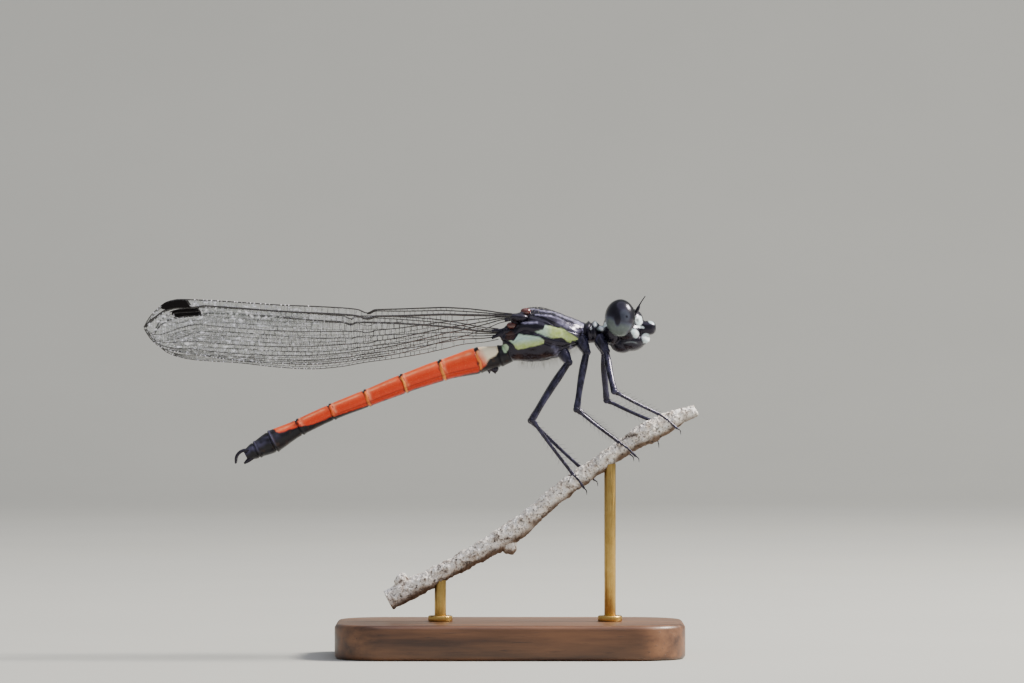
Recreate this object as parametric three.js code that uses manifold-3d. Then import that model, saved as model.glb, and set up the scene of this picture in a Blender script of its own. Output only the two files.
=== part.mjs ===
// A male jewel damselfly, life size, gripping a cut length of twig on a small display stand.
// Millimetres, +Z up, head towards +X. The origin is the centre of the stand's underside.

import * as THREE from "three";
import { mergeVertices } from "three/addons/utils/BufferGeometryUtils.js";
import Module from "manifold-3d";

const wasm = await Module();
wasm.setup();

// Shared sizes
const GAP = 0.3; // left between two pieces that touch
const HALF_GAP = GAP / 2;
const ROOM = 0.36; // how far a faceted body is grown so that what is trimmed by it keeps the gap
const MERGE_WITHIN = 1e-5; // corners this close are one corner
const SMALL_BALL = [8, 6]; // sides and rings of the smallest rounded forms
const LUMP_BALL = [10, 8];
const ROOM_BALL = [16, 10];
const EYE_BALL = [20, 14];

// Head: ellipsoids as [x, y, z] centres and [x, y, z] half sizes, all on the middle plane
const HEAD_FORMS = {
  vertex: { centre: [7.66, 0, 23.4], half: [0.95, 1.5, 1.0] },
  frons: { centre: [8.45, 0, 23.1], half: [0.75, 1.05, 0.85] },
  occiput: { centre: [7.1, 0, 22.5], half: [0.72, 1.25, 1.15] },
  gena: { centre: [8.15, 0, 22.4], half: [1.0, 1.35, 0.8] },
  anteclypeus: { centre: [9.2, 0, 22.2], half: [0.48, 0.66, 0.36] },
  labrum: { centre: [9.15, 0, 21.86], half: [0.5, 0.75, 0.42] },
  mandibles: { centre: [8.34, 0, 21.72], half: [1.0, 1.0, 0.72] },
  labium: { centre: [7.75, 0, 21.5], half: [0.82, 0.75, 0.62] },
};
const SNOUT = { centre: [9.45, 0, 22.62], half: [0.62, 0.72, 0.5], squareness: 0.68 };
const MOUTH_LINE = { centre: [8.45, 0, 21.5], half: [1.14, 0.95], depth: 0.1 };
const OCELLI = [[8.35, 0, 23.95], [7.95, 0.42, 24.28], [7.95, -0.42, 24.28]];
const OCELLUS_RADIUS = 0.17;

const EYE = { centre: [7.586, 1.5, 23.31], half: [1.03, 0.95, 1.29] };

const ANTENNA = {
  path: [[8.3, 0.75, 23.15], [8.75, 0.9, 23.8], [8.95, 0.95, 24.25], [9.33, 1.05, 24.83]],
  radii: [[0, 0.26], [0.45, 0.26], [0.7, 0.2], [1, 0.07]],
};

// Prothorax and neck, front end under the head: x, top, bottom, half width
const PROTHORAX = [
  [5.22, 22.93, 21.78, 0.72],
  [5.42, 23.1, 21.6, 0.98],
  [5.6, 22.98, 21.56, 0.86],
  [5.85, 23.14, 21.56, 1.0],
  [6.05, 22.98, 21.7, 0.8],
  [6.25, 22.8, 22.0, 0.52],
  [6.5, 22.72, 22.15, 0.42],
];

const FLANK_FULLNESS = 0.85; // under 1 gives the body rings flatter sides than an ellipse

// Winged thorax: x, top, bottom, half width
const THORAX = [
  [-0.52, 22.3, 21.4, 0.62],
  [-0.36, 22.66, 20.95, 0.86],
  [-0.05, 22.92, 20.45, 1.08],
  [0.3, 23.12, 20.32, 1.24],
  [0.62, 23.5, 20.32, 1.34],
  [0.95, 23.86, 20.3, 1.42],
  [1.4, 24.0, 20.27, 1.5],
  [1.9, 24.02, 20.27, 1.57],
  [2.4, 23.95, 20.33, 1.6],
  [2.9, 23.8, 20.48, 1.6],
  [3.4, 23.62, 20.7, 1.54],
  [3.9, 23.42, 20.96, 1.42],
  [4.35, 23.26, 21.2, 1.26],
  [4.7, 23.12, 21.4, 1.05],
  [4.92, 23.0, 21.6, 0.84],
];
// Each side seam as [x, share of the height below the top], and how deep it is pressed in
const SEAMS = [
  [[-0.5, 0.1], [1.4, 0.155], [3.2, 0.3], [4.3, 0.44], [4.95, 0.58]],
  [[-0.5, 0.3], [1.4, 0.42], [3.2, 0.6], [4.3, 0.76], [4.95, 0.8]],
  [[-0.5, 0.5], [1.4, 0.55], [3.2, 0.76], [4.3, 0.9], [4.95, 0.93]],
];
const SEAM_DEPTH = 0.11;
const SEAM_HALF_ANGLE = 0.075;
const KEEL_HEIGHT = 0.06;

// Hinge plates beside the wing roots, right and left alike
const HINGES = [
  { centre: [0.72, 1.2, 23.32], half: [0.75, 0.42, 0.36] },
  { centre: [1.08, 0.82, 23.72], half: [0.4, 0.36, 0.3] },
  { centre: [0.12, 0.72, 22.8], half: [0.4, 0.34, 0.27] },
  { centre: [-0.32, 0.6, 22.3], half: [0.5, 0.34, 0.42] },
];

// Abdomen: [x, z] of each joint's middle from the waist to the tail, and front and rear height
const ABDOMEN_JOINTS = [
  [-0.05, 20.9], [-0.75, 20.68], [-2.21, 20.38], [-4.72, 19.69], [-7.38, 18.76], [-9.9, 17.76],
  [-12.31, 16.81], [-14.52, 15.77], [-16.38, 14.78], [-17.48, 14.21], [-18.21, 13.83],
];
const ABDOMEN_HEIGHTS = [
  [1.25, 1.45], [1.5, 1.76], [1.84, 1.46], [1.48, 1.33], [1.34, 1.2],
  [1.2, 1.13], [1.12, 1.16], [1.16, 1.58], [1.52, 1.18], [1.17, 0.96],
];
const ABDOMEN_WIDTH = 1.12; // width as a share of the height
const RING_RISE = 0.045; // how far each segment's rear rim stands out
const RING_STATIONS = { swell: 0.1, middle: 0.5, dip: 0.86, rim: 0.93 }; // shares of a segment's length
const ABDOMEN_SIDES = 14;
const GENITAL_LOBE = { centre: [-1.42, 0, 19.86], half: [0.72, 0.42, 0.42] };
const TAIL_SPIKE = {
  path: [[-17.9, 0, 13.85], [-18.3, 0, 13.62], [-18.5, 0, 13.5]],
  radii: [[0, 0.3], [0.6, 0.16], [1, 0.07]],
};
const CERCUS = {
  path: [[-17.75, 0.42, 14.22], [-18.55, 0.46, 14.14], [-18.83, 0.5, 13.79], [-18.88, 0.42, 13.24]],
  radii: [[0, 0.25], [0.55, 0.24], [0.85, 0.2], [1, 0.1]],
};

// Wings: root and tip on the side view's [x, z], and how far the middle surface and faces stand off
// the middle plane. Edges are [share of the length, height over the root-to-tip line].
const WINGS = {
  forewing: {
    root: [0.14, 23.45],
    tip: [-25.17, 22.62],
    standOff: [1.52, 0.98],
    costa: [
      [0, 0.15], [0.033, 0.25], [0.065, 0.4], [0.128, 0.62], [0.2, 0.745], [0.287, 0.735], [0.37, 0.745],
      [0.392, 0.52], [0.42, 0.8], [0.496, 1.02], [0.632, 1.28], [0.771, 1.63], [0.875, 1.85],
      [0.905, 1.88], [0.935, 1.74], [0.962, 1.26], [0.985, 0.68], [1, 0.3],
    ],
    hind: [
      [0, -0.3], [0.033, -0.45], [0.065, -0.76], [0.134, -1.3], [0.183, -1.56], [0.253, -2.0],
      [0.322, -2.38], [0.406, -2.63], [0.469, -2.79], [0.545, -2.86], [0.632, -2.75], [0.747, -2.45],
      [0.861, -1.94], [0.935, -1.57], [0.965, -1.22], [0.985, -0.7], [1, -0.25],
    ],
    node: 0.392,
    stigma: [0.873, 0.943],
  },
  hindwing: {
    root: [-0.79, 22.2],
    tip: [-24.6, 22.07],
    standOff: [0.6, 0.31],
    costa: [
      [0, 0.36], [0.048, 0.49], [0.118, 0.81], [0.163, 0.99], [0.229, 1.15], [0.34, 1.28], [0.41, 1.3],
      [0.427, 1.1], [0.45, 1.32], [0.5, 1.4], [0.62, 1.63], [0.75, 1.83], [0.878, 1.95],
      [0.94, 1.74], [0.97, 1.25], [0.988, 0.7], [1, 0.3],
    ],
    hind: [
      [0, -0.36], [0.044, -0.55], [0.1, -0.68], [0.155, -0.98], [0.229, -1.36], [0.303, -1.64],
      [0.392, -1.92], [0.459, -2.19], [0.539, -2.33], [0.631, -2.21], [0.754, -1.88], [0.86, -1.7],
      [0.909, -1.55], [0.954, -1.2], [0.984, -0.65], [1, -0.25],
    ],
    node: 0.427,
    stigma: [0.848, 0.942],
  },
};
const WING_HALF_THICKNESS = [0.25, 0.15]; // at the root and at the tip
const WING_STATIONS = [
  0, 0.05, 0.12, 0.2, 0.3, 0.37, 0.392, 0.42, 0.5, 0.6, 0.7, 0.79, 0.868, 0.878, 0.938, 0.948, 0.972, 0.99, 1,
];
const NOTCH = 0.392; // the station that falls in the notch
const ROOT_STATIONS = [0, 0.05, 0.12, 0.3]; // the stretch of a wing that passes the body
// Main veins from the leading edge back, as shares of the chord at the root and at the tip
const VEINS = [[0.3, 0.13], [0.42, 0.45], [0.56, 0.78], [0.72, 0.93]];
const VEIN_SPREAD = 0.8; // power of the length share by which the veins leave their root places
const VEIN_HALF_WIDTH = 0.16;
const VEIN_WIDEST_SHARE = 0.042; // of the chord, where the wing is narrow
const VEIN_RISE = [0.13, 0.06];
const VEIN_FADE = [0.05, 0.03]; // shares of the length over which the ridges rise at the root and tip
const EDGE_BEAD = 1.6; // width of the leading edge's ridge in vein half widths
const HIND_EDGE_RISE = 0.3; // share of a vein's rise
const NOTCH_REACH = 0.03; // stations this near the notch move with it

// Legs: body root, end of the short second joint, knee, ankle and toe as [x, y, z]
const LEGS = {
  leg_fore_right: [[6.15, -0.5, 22.1], [6.62, -0.85, 21.02], [7.14, -2.6, 18.28], [10.21, -1.28, 16.72],
    [11.5, -1.02, 15.7]],
  leg_fore_left: [[6.1, 0.5, 22.1], [6.5, 0.85, 20.98], [6.69, 1.7, 17.62], [9.79, 1.28, 16.2],
    [10.2, 1.08, 14.86]],
  leg_mid_right: [[4.85, -0.6, 21.9], [5.3, -0.95, 20.95], [4.57, -2.1, 17.03], [7.52, -1.35, 14.76],
    [8.65, -1.0, 13.8]],
  leg_mid_left: [[4.8, 0.6, 21.9], [5.24, 0.95, 20.95], [4.66, 2.1, 17.07], [7.41, 1.35, 14.85],
    [8.35, 1.08, 13.85]],
  leg_hind_right: [[3.55, -0.65, 21.3], [4.05, -1.05, 20.25], [1.52, -2.1, 16.31], [4.34, -1.4, 12.55],
    [5.1, -1.02, 11.6]],
  leg_hind_left: [[3.5, 0.65, 21.3], [4.0, 1.05, 20.25], [1.45, 2.1, 16.2], [5.0, 1.4, 12.85],
    [5.85, 1.08, 12.1]],
};
const COXA_RADII = [[0, 0.42], [0.55, 0.4], [1, 0.31]];
const FEMUR_RADII = [[0, 0.3], [0.12, 0.31], [0.85, 0.25], [1, 0.29]];
const TIBIA_RADII = [[0, 0.27], [0.1, 0.25], [0.9, 0.25], [1, 0.27]];
const TARSUS_RADII = [[0, 0.25], [0.62, 0.25], [0.8, 0.16], [1, 0.09]];
const HIP_RADIUS = 0.32;
const TOE_DROOP = 0.12; // how far the foot's middle arches over the line from ankle to toe
const LIMB_SIDES = 8;
const LEG_HALF_GAP = 0.19; // wider than the body's, because a leg bends sharply at its joints
const FOOT_GAP = 0.26; // from the ankle to the foot, whose end is square
const FOOT_STEPS = 5;
const PROTHORAX_ROOM = 0.56;

// Twig: [x, z] of its middle line and [share of its length, radius]
const TWIG_PATH = [
  [-8.4, 3.86], [-6.4, 4.88], [-3.5, 6.4], [0.1, 8.5], [3.6, 11.4], [6, 13.1], [8.3, 14.7], [10.3, 15.8],
  [12.8, 17],
];
const TWIG_RADII = [
  [0, 0.7], [0.08, 0.72], [0.16, 0.62], [0.26, 0.66], [0.38, 0.74], [0.5, 0.62], [0.66, 0.6], [0.78, 0.6],
  [0.86, 0.74], [0.93, 0.62], [1, 0.36],
];
const TWIG_STEPS = 36; // rings along the twig
const TWIG_SIDES = 10;
const BARK_RELIEF = 0.05;
const TWIG_KNOB = { centre: [-0.05, 0, 7.62], half: [0.52, 0.5, 0.62] };
const TWIG_SPUR = { centre: [-7.45, 0, 5.0], half: [0.5, 0.42, 0.72] };

// Display stand
const BASE = { length: 24, width: 13, height: 2.4, corner: 3.5, bevel: 0.32 };
const ROD_RADIUS = 0.4;
const ROD_SIDES = 12;
const RODS = { stand_rod_front: 6.9, stand_rod_rear: -4.8 };
const TWIG_LINE_POINTS = 200;

// Finishes
const finish = (color, roughness, metalness = 0, more = {}) =>
  new THREE.MeshStandardMaterial({ color, roughness, metalness, ...more });
const FINISH = {
  blackCuticle: finish("#17151d", 0.28),
  thoraxCuticle: finish("#1b1a22", 0.3),
  creamCuticle: finish("#e6d2a4", 0.4),
  orangeCuticle: finish("#d9562c", 0.4),
  eye: finish("#23262a", 0.12),
  wing: finish("#9aa098", 0.25, 0, { transparent: true, opacity: 0.45 }),
  bark: finish("#b5aa9d", 0.85),
  walnut: finish("#5b3a26", 0.45),
  brass: finish("#b8924d", 0.3, 0.9),
};

const vector = ([x, y, z]) => new THREE.Vector3(x, y, z);
const inSideView = ([x, z]) => new THREE.Vector3(x, 0, z);
const blend = THREE.MathUtils.lerp;
const mirrored = ([x, y, z], side) => [x, y * side, z];

// A smooth curve through [x, value] pairs, which never swings past them.
function through(pairs) {
  const rise = (i) => (pairs[i + 1][1] - pairs[i][1]) / (pairs[i + 1][0] - pairs[i][0]);
  const last = pairs.length - 1;
  const slopes = pairs.map((pair, i) => {
    if (i === 0 || i === last) return rise(Math.min(i, last - 1));
    const before = rise(i - 1);
    const after = rise(i);
    return before * after <= 0 ? 0 : (2 * before * after) / (before + after);
  });
  return (x) => {
    if (x <= pairs[0][0]) return pairs[0][1];
    if (x >= pairs[last][0]) return pairs[last][1];
    const i = pairs.findIndex((pair) => pair[0] > x) - 1;
    const width = pairs[i + 1][0] - pairs[i][0];
    const t = (x - pairs[i][0]) / width;
    const bow = t * (1 - t) * width * (slopes[i] * (1 - t) - slopes[i + 1] * t);
    const ease = t * t * (3 - 2 * t);
    return blend(pairs[i][1], pairs[i + 1][1], ease) + bow;
  };
}

// A closed solid from a geometry, with its shared corners merged and its faces pointing out.
function solidOf(geometry) {
  geometry.deleteAttribute("normal");
  geometry.deleteAttribute("uv");
  const merged = mergeVertices(geometry, MERGE_WITHIN);
  const index = Array.from(merged.index.array);
  const corners = [];
  for (let i = 0; i < index.length; i += 3) {
    const [a, b, c] = index.slice(i, i + 3);
    if (a !== b && b !== c && c !== a) corners.push(a, b, c);
  }
  const place = merged.attributes.position;
  const [a, b, c] = [new THREE.Vector3(), new THREE.Vector3(), new THREE.Vector3()];
  let volume = 0;
  for (let i = 0; i < corners.length; i += 3) {
    a.fromBufferAttribute(place, corners[i]);
    b.fromBufferAttribute(place, corners[i + 1]);
    c.fromBufferAttribute(place, corners[i + 2]);
    volume += a.dot(b.cross(c));
  }
  if (volume < 0) corners.reverse();
  const vertProperties = new Float32Array(place.array);
  const triVerts = new Uint32Array(corners);
  return new wasm.Manifold(new wasm.Mesh({ numProp: 3, vertProperties, triVerts }));
}

const join = (solids) => solids.reduce((whole, solid) => whole.add(solid));
const trim = (solid, cutters) => cutters.reduce((rest, cutter) => rest.subtract(cutter), solid);

// The largest closed surface of a solid.
function largest(solid) {
  return solid.decompose().reduce((best, one) => (one.volume() > best.volume() ? one : best));
}

// A closed body of rings. place(along, around, reach) puts one corner, with reach 0 at an end's middle.
function loft(sides, stations, place) {
  const geometry = new THREE.CylinderGeometry(1, 1, 1, sides, stations.length - 1);
  const corners = geometry.attributes.position;
  for (let i = 0; i < corners.count; i += 1) {
    const ring = Math.round((0.5 - corners.getY(i)) * (stations.length - 1));
    const around = Math.atan2(corners.getX(i), corners.getZ(i));
    const reach = Math.hypot(corners.getX(i), corners.getZ(i));
    const point = place(stations[ring], around, reach < 0.5 ? 0 : 1, ring);
    corners.setXYZ(i, point.x, point.y, point.z);
  }
  return solidOf(geometry);
}

function ellipsoid({ centre, half, squareness = 1 }, grow = 0, [sides, rings] = [12, 8]) {
  const geometry = new THREE.SphereGeometry(1, sides, rings);
  const corners = geometry.attributes.position;
  const bulge = (value) => Math.sign(value) * Math.abs(value) ** squareness;
  for (let i = 0; i < corners.count; i += 1) {
    const [x, y, z] = [corners.getX(i), corners.getY(i), corners.getZ(i)].map(bulge);
    corners.setXYZ(
      i,
      centre[0] + x * (half[0] + grow),
      centre[1] + y * (half[1] + grow),
      centre[2] + z * (half[2] + grow),
    );
  }
  return solidOf(geometry);
}

// A straight limb. radii are [share of the length, radius], and each end lies in its own plane.
function limb({ start, end, radii, startPlane, endPlane, wide = 1, sides = LIMB_SIDES, grow = 0 }) {
  const axis = end.clone().sub(start);
  const length = axis.length();
  axis.normalize();
  const up = new THREE.Vector3(0, 1, 0).cross(axis).normalize();
  const sideways = axis.clone().cross(up);
  const from = startPlane ?? axis;
  const to = endPlane ?? axis;
  const radiusAt = through(radii);
  return loft(sides, radii.map(([along]) => along), (along, around, reach) => {
    const radius = reach * (radiusAt(along) + grow);
    const offset = up.clone().multiplyScalar(radius * Math.cos(around));
    offset.addScaledVector(sideways, radius * wide * Math.sin(around));
    const slipFrom = offset.dot(from) / axis.dot(from);
    const slipTo = offset.dot(to) / axis.dot(to);
    const advance = length * along + blend(-grow, grow, along) - blend(slipFrom, slipTo, along);
    return start.clone().addScaledVector(axis, advance).add(offset);
  });
}

// A round shoot along a smooth path, with a radius for each share of its length.
function shoot({ path, radii, sides = 8, steps = 8, grow = 0, relief = () => 0 }) {
  const curve = new THREE.CatmullRomCurve3(path, false, "centripetal");
  const radiusAt = through(radii);
  const stations = Array.from({ length: steps + 1 }, (_, i) => i / steps);
  return loft(sides, stations, (along, around, reach) => {
    const centre = curve.getPointAt(along);
    const axis = curve.getTangentAt(along);
    const up = new THREE.Vector3(0, 1, 0).cross(axis).normalize();
    const sideways = axis.clone().cross(up);
    const radius = reach * (radiusAt(along) + relief(along, around) + grow);
    centre.addScaledVector(axis, blend(-grow, grow, along));
    return centre
      .addScaledVector(up, radius * Math.cos(around))
      .addScaledVector(sideways, radius * Math.sin(around));
  });
}

const model = new THREE.Group();

function addNode(name, solid, material) {
  const { vertProperties, triVerts } = largest(solid).getMesh();
  const indexed = new THREE.BufferGeometry();
  indexed.setAttribute("position", new THREE.BufferAttribute(vertProperties, 3));
  indexed.setIndex(new THREE.BufferAttribute(triVerts, 1));
  const geometry = indexed.toNonIndexed();
  geometry.computeVertexNormals();
  const mesh = new THREE.Mesh(geometry, material);
  mesh.name = name;
  model.add(mesh);
}

const SIDES = { right: -1, left: 1 };
const onSide = (form, side) => ({ ...form, centre: mirrored(form.centre, side) });

// Moves the stations round the notch of the leading edge to where this wing has it.
const nodeShift = (s, node) => (Math.abs(s - NOTCH) < NOTCH_REACH ? node - NOTCH : 0);

// One wing, or with grow the plain room that its root keeps clear.
// Both faces have the same corners; the outer one carries the veins as ridges.
function wing(spec, side, grow = 0) {
  const root = inSideView(spec.root);
  const along = inSideView(spec.tip).sub(root);
  const length = along.length();
  along.normalize();
  const up = new THREE.Vector3(0, 1, 0).cross(along);
  if (up.z < 0) up.negate();
  const costa = through(spec.costa);
  const hind = through(spec.hind);
  const lineCount = grow > 0 ? 2 : 3 + 3 * VEINS.length;

  // The share of the chord and the rise of every line from the leading edge to the rear edge.
  const linesAt = (s) => {
    if (grow > 0) return [[0, VEIN_RISE[0]], [1, VEIN_RISE[0]]];
    const chord = costa(s) - hind(s);
    const fade = Math.min(1, s / VEIN_FADE[0], (1 - s) / VEIN_FADE[1]);
    const rise = blend(VEIN_RISE[0], VEIN_RISE[1], s) * fade;
    const crests = VEINS.map(([atRoot, atTip]) => blend(atRoot, atTip, s ** VEIN_SPREAD));
    const halfWidth = Math.min(VEIN_HALF_WIDTH / chord, VEIN_WIDEST_SHARE);
    const onStigma = s > spec.stigma[0] && s < spec.stigma[1];
    const bead = Math.min(crests[0] / 2, EDGE_BEAD * halfWidth);
    const lines = [[0, rise], [bead, onStigma ? rise : 0]];
    crests.forEach((crest, k) => {
      lines.push([crest - halfWidth, k === 0 && onStigma ? rise : 0]);
      lines.push([crest, rise]);
      lines.push([crest + halfWidth, 0]);
    });
    lines.push([1, HIND_EDGE_RISE * rise]);
    return lines;
  };

  const stations = grow > 0 ? ROOT_STATIONS : WING_STATIONS.map((s) => s + nodeShift(s, spec.node));
  const geometry = new THREE.BoxGeometry(1, 1, 1, stations.length - 1, lineCount - 1, 1);
  const corners = geometry.attributes.position;
  for (let i = 0; i < corners.count; i += 1) {
    const s = stations[Math.round((corners.getX(i) + 0.5) * (stations.length - 1))];
    const line = Math.round((0.5 - corners.getY(i)) * (lineCount - 1));
    const [share, rise] = linesAt(s)[line];
    const height = blend(costa(s) + grow, hind(s) - grow, share);
    const half = blend(WING_HALF_THICKNESS[0], WING_HALF_THICKNESS[1], s) + grow;
    const outer = corners.getZ(i) > 0;
    const stand = blend(spec.standOff[0], spec.standOff[1], s) + (outer ? half + rise : -half);
    const reach = length * s + blend(-grow, grow, s);
    const point = root.clone().addScaledVector(along, reach).addScaledVector(up, height);
    corners.setXYZ(i, point.x, stand * side, point.z);
  }
  return solidOf(geometry);
}

const wingRoom = Object.values(WINGS).flatMap((spec) =>
  Object.values(SIDES).map((side) => wing(spec, side, GAP)));

// Thorax rings with their corners gathered at the three side seams.
const seamAt = SEAMS.map(through);
const profile = (rows, column) => through(rows.map((row) => [row[0], row[column]]));

function ringBody(rows, sides, grow, angleOf, sinkOf) {
  const [topAt, bottomAt, halfAt] = [1, 2, 3].map((column) => profile(rows, column));
  const stations = rows.map(([x]) => x);
  return loft(sides, stations, (x, around, reach, ring) => {
    const end = ring === 0 ? -grow : ring === stations.length - 1 ? grow : 0;
    const angle = angleOf(x, around);
    const middle = (topAt(x) + bottomAt(x)) / 2;
    const high = (topAt(x) - bottomAt(x)) / 2 + grow;
    const sink = sinkOf(around);
    const flank = Math.sign(angle) * Math.abs(Math.sin(angle)) ** FLANK_FULLNESS;
    return new THREE.Vector3(
      x + end,
      reach * flank * (halfAt(x) + grow - sink),
      middle + reach * Math.cos(angle) * (high - sink),
    );
  });
}

const THORAX_SIDES = 28;
const KNOTS = THORAX_SIDES / 2; // ring corners from the back's keel down to the belly

function thoraxBody() {
  const knotOf = (around) => Math.round((Math.abs(around) / Math.PI) * KNOTS);
  const angleOf = (x, around) => {
    const seams = seamAt.map((seam) => Math.acos(1 - 2 * seam(x)));
    const stops = seams.flatMap((angle) => [angle - SEAM_HALF_ANGLE, angle, angle + SEAM_HALF_ANGLE]);
    const knots = [0, stops[0] / 2, stops[0], stops[1], stops[2], (stops[2] + stops[3]) / 2, stops[3],
      stops[4], stops[5], (stops[5] + stops[6]) / 2, stops[6], stops[7], stops[8],
      (stops[8] + Math.PI) / 2, Math.PI];
    return knots[knotOf(around)] * (around < 0 ? -1 : 1);
  };
  const sinkOf = (around) => {
    const knot = knotOf(around);
    if (knot === 0) return -KEEL_HEIGHT;
    return [3, 7, 11].includes(knot) ? SEAM_DEPTH : 0;
  };
  return ringBody(THORAX, THORAX_SIDES, 0, angleOf, sinkOf);
}

const plainRings = (rows, sides, grow) => ringBody(rows, sides, grow, (x, around) => around, () => 0);

// Abdomen segments, each cut along the plane that halves its bend to the next.
const joints = ABDOMEN_JOINTS.map(inSideView);
const spans = joints.slice(1).map((joint, k) => joint.clone().sub(joints[k]).normalize());
const jointPlane = (k) => {
  const before = spans[Math.max(k - 1, 0)];
  const after = spans[Math.min(k, spans.length - 1)];
  return before.clone().add(after).normalize();
};

function segment(k, grow = 0) {
  const [front, rear] = ABDOMEN_HEIGHTS[k].map((height) => height / 2);
  return limb({
    start: joints[k].clone().addScaledVector(spans[k], HALF_GAP),
    end: joints[k + 1].clone().addScaledVector(spans[k], -HALF_GAP),
    radii: [
      [0, front - RING_RISE],
      [RING_STATIONS.swell, front],
      [RING_STATIONS.middle, (front + rear) / 2],
      [RING_STATIONS.dip, rear],
      [RING_STATIONS.rim, rear + RING_RISE],
      [1, rear],
    ],
    startPlane: jointPlane(k),
    endPlane: jointPlane(k + 1),
    wide: ABDOMEN_WIDTH,
    sides: ABDOMEN_SIDES,
    grow,
  });
}

// Head
const headForms = (grow) => [
  ...Object.values(HEAD_FORMS).map((form) => ellipsoid(form, grow)),
  ellipsoid(SNOUT, grow),
];
const headRoom = join(headForms(GAP));
const eyeRoom = Object.values(SIDES).map((side) => ellipsoid(onSide(EYE, side), ROOM, ROOM_BALL));
const ball = (centre, radius) => ellipsoid({ centre, half: [radius, radius, radius] }, 0, SMALL_BALL);
const ocelli = OCELLI.map((centre) => ball(centre, OCELLUS_RADIUS));
const mouthLine = new THREE.TorusGeometry(1, MOUTH_LINE.depth, 5, 20);
mouthLine.scale(MOUTH_LINE.half[0], MOUTH_LINE.half[1], 1);
mouthLine.translate(...MOUTH_LINE.centre);
addNode(
  "head",
  trim(join([...headForms(0), ...ocelli]), [...eyeRoom, solidOf(mouthLine)]),
  FINISH.blackCuticle,
);

for (const [sideName, side] of Object.entries(SIDES)) {
  addNode(`eye_${sideName}`, ellipsoid(onSide(EYE, side), 0, EYE_BALL), FINISH.eye);
  const path = ANTENNA.path.map((point) => vector(mirrored(point, side)));
  const feeler = shoot({ path, radii: ANTENNA.radii });
  addNode(`antenna_${sideName}`, trim(feeler, [headRoom, ...eyeRoom]), FINISH.blackCuticle);
}

// Body
const waistRoom = segment(0, GAP);
const hinges = HINGES.flatMap((form) =>
  Object.values(SIDES).map((side) => ellipsoid(onSide(form, side), 0, SMALL_BALL)));
addNode("prothorax", trim(plainRings(PROTHORAX, 16, 0), [headRoom]), FINISH.blackCuticle);
addNode(
  "thorax",
  trim(join([thoraxBody(), ...hinges]), [waistRoom, ...wingRoom]),
  FINISH.thoraxCuticle,
);

ABDOMEN_HEIGHTS.forEach((heights, k) => {
  const extras = [];
  if (k === 1) extras.push(trim(ellipsoid(GENITAL_LOBE), [segment(0, ROOM), segment(2, ROOM)]));
  if (k === ABDOMEN_HEIGHTS.length - 1) {
    extras.push(shoot({ path: TAIL_SPIKE.path.map(vector), radii: TAIL_SPIKE.radii }));
  }
  const finishes = [FINISH.blackCuticle, FINISH.creamCuticle];
  const material = finishes[k] ?? (k < 7 ? FINISH.orangeCuticle : FINISH.blackCuticle);
  addNode(`abdomen_${k + 1}`, join([segment(k), ...extras]), material);
});

const tailRoom = segment(ABDOMEN_HEIGHTS.length - 1, GAP);
for (const [sideName, side] of Object.entries(SIDES)) {
  const path = CERCUS.path.map((point) => vector(mirrored(point, side)));
  addNode(`cercus_${sideName}`, trim(shoot({ path, radii: CERCUS.radii }), [tailRoom]), FINISH.blackCuticle);
}

// Wings
for (const [wingName, spec] of Object.entries(WINGS)) {
  for (const [sideName, side] of Object.entries(SIDES)) {
    addNode(`${wingName}_${sideName}`, wing(spec, side), FINISH.wing);
  }
}

// Twig
const bark = (along, around) =>
  BARK_RELIEF * (Math.sin(23 * along + 2 * around) + 0.7 * Math.sin(61 * along - 3 * around + 1.3));
const twigPath = TWIG_PATH.map(inSideView);
function twigBody(grow = 0) {
  const branch = shoot({
    path: twigPath,
    radii: TWIG_RADII,
    sides: TWIG_SIDES,
    steps: TWIG_STEPS,
    relief: bark,
    grow,
  });
  return join([branch, ellipsoid(TWIG_KNOB, grow, LUMP_BALL), ellipsoid(TWIG_SPUR, grow, LUMP_BALL)]);
}
const twigRoom = twigBody(ROOM);
addNode("perch_twig", twigBody(), FINISH.bark);

// Legs: the stout first joints with the thigh, then shin and foot, each cut along its bend's plane.
const bodyRoom = [plainRings(THORAX, 12, ROOM), plainRings(PROTHORAX, 10, PROTHORAX_ROOM), headRoom];
const halfway = (one, other) => one.clone().add(other).normalize();
for (const [legName, points] of Object.entries(LEGS)) {
  const [body, hip, knee, ankle, toe] = points.map(vector);
  const thighAxis = knee.clone().sub(hip).normalize();
  const shinAxis = ankle.clone().sub(knee).normalize();
  const footAxis = toe.clone().sub(ankle).normalize();
  const coxa = limb({ start: body, end: hip, radii: COXA_RADII });
  const hipBall = ball(hip.toArray(), HIP_RADIUS);
  const thigh = limb({
    start: hip,
    end: knee.clone().addScaledVector(thighAxis, -LEG_HALF_GAP),
    radii: FEMUR_RADII,
    endPlane: halfway(thighAxis, shinAxis),
  });
  addNode(`${legName}_femur`, trim(join([coxa, hipBall, thigh]), bodyRoom), FINISH.blackCuticle);
  const shin = limb({
    start: knee.clone().addScaledVector(shinAxis, LEG_HALF_GAP),
    end: ankle.clone().addScaledVector(shinAxis, -LEG_HALF_GAP),
    radii: TIBIA_RADII,
    startPlane: halfway(thighAxis, shinAxis),
    endPlane: halfway(shinAxis, footAxis),
  });
  addNode(`${legName}_tibia`, shin, FINISH.blackCuticle);
  const footStart = ankle.clone().addScaledVector(footAxis, FOOT_GAP);
  const instep = footStart.clone().lerp(toe, 0.5).add(new THREE.Vector3(0, 0, TOE_DROOP));
  const foot = shoot({ path: [footStart, instep, toe], radii: TARSUS_RADII, steps: FOOT_STEPS });
  addNode(`${legName}_tarsus`, trim(foot, [twigRoom]), FINISH.blackCuticle);
}

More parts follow.
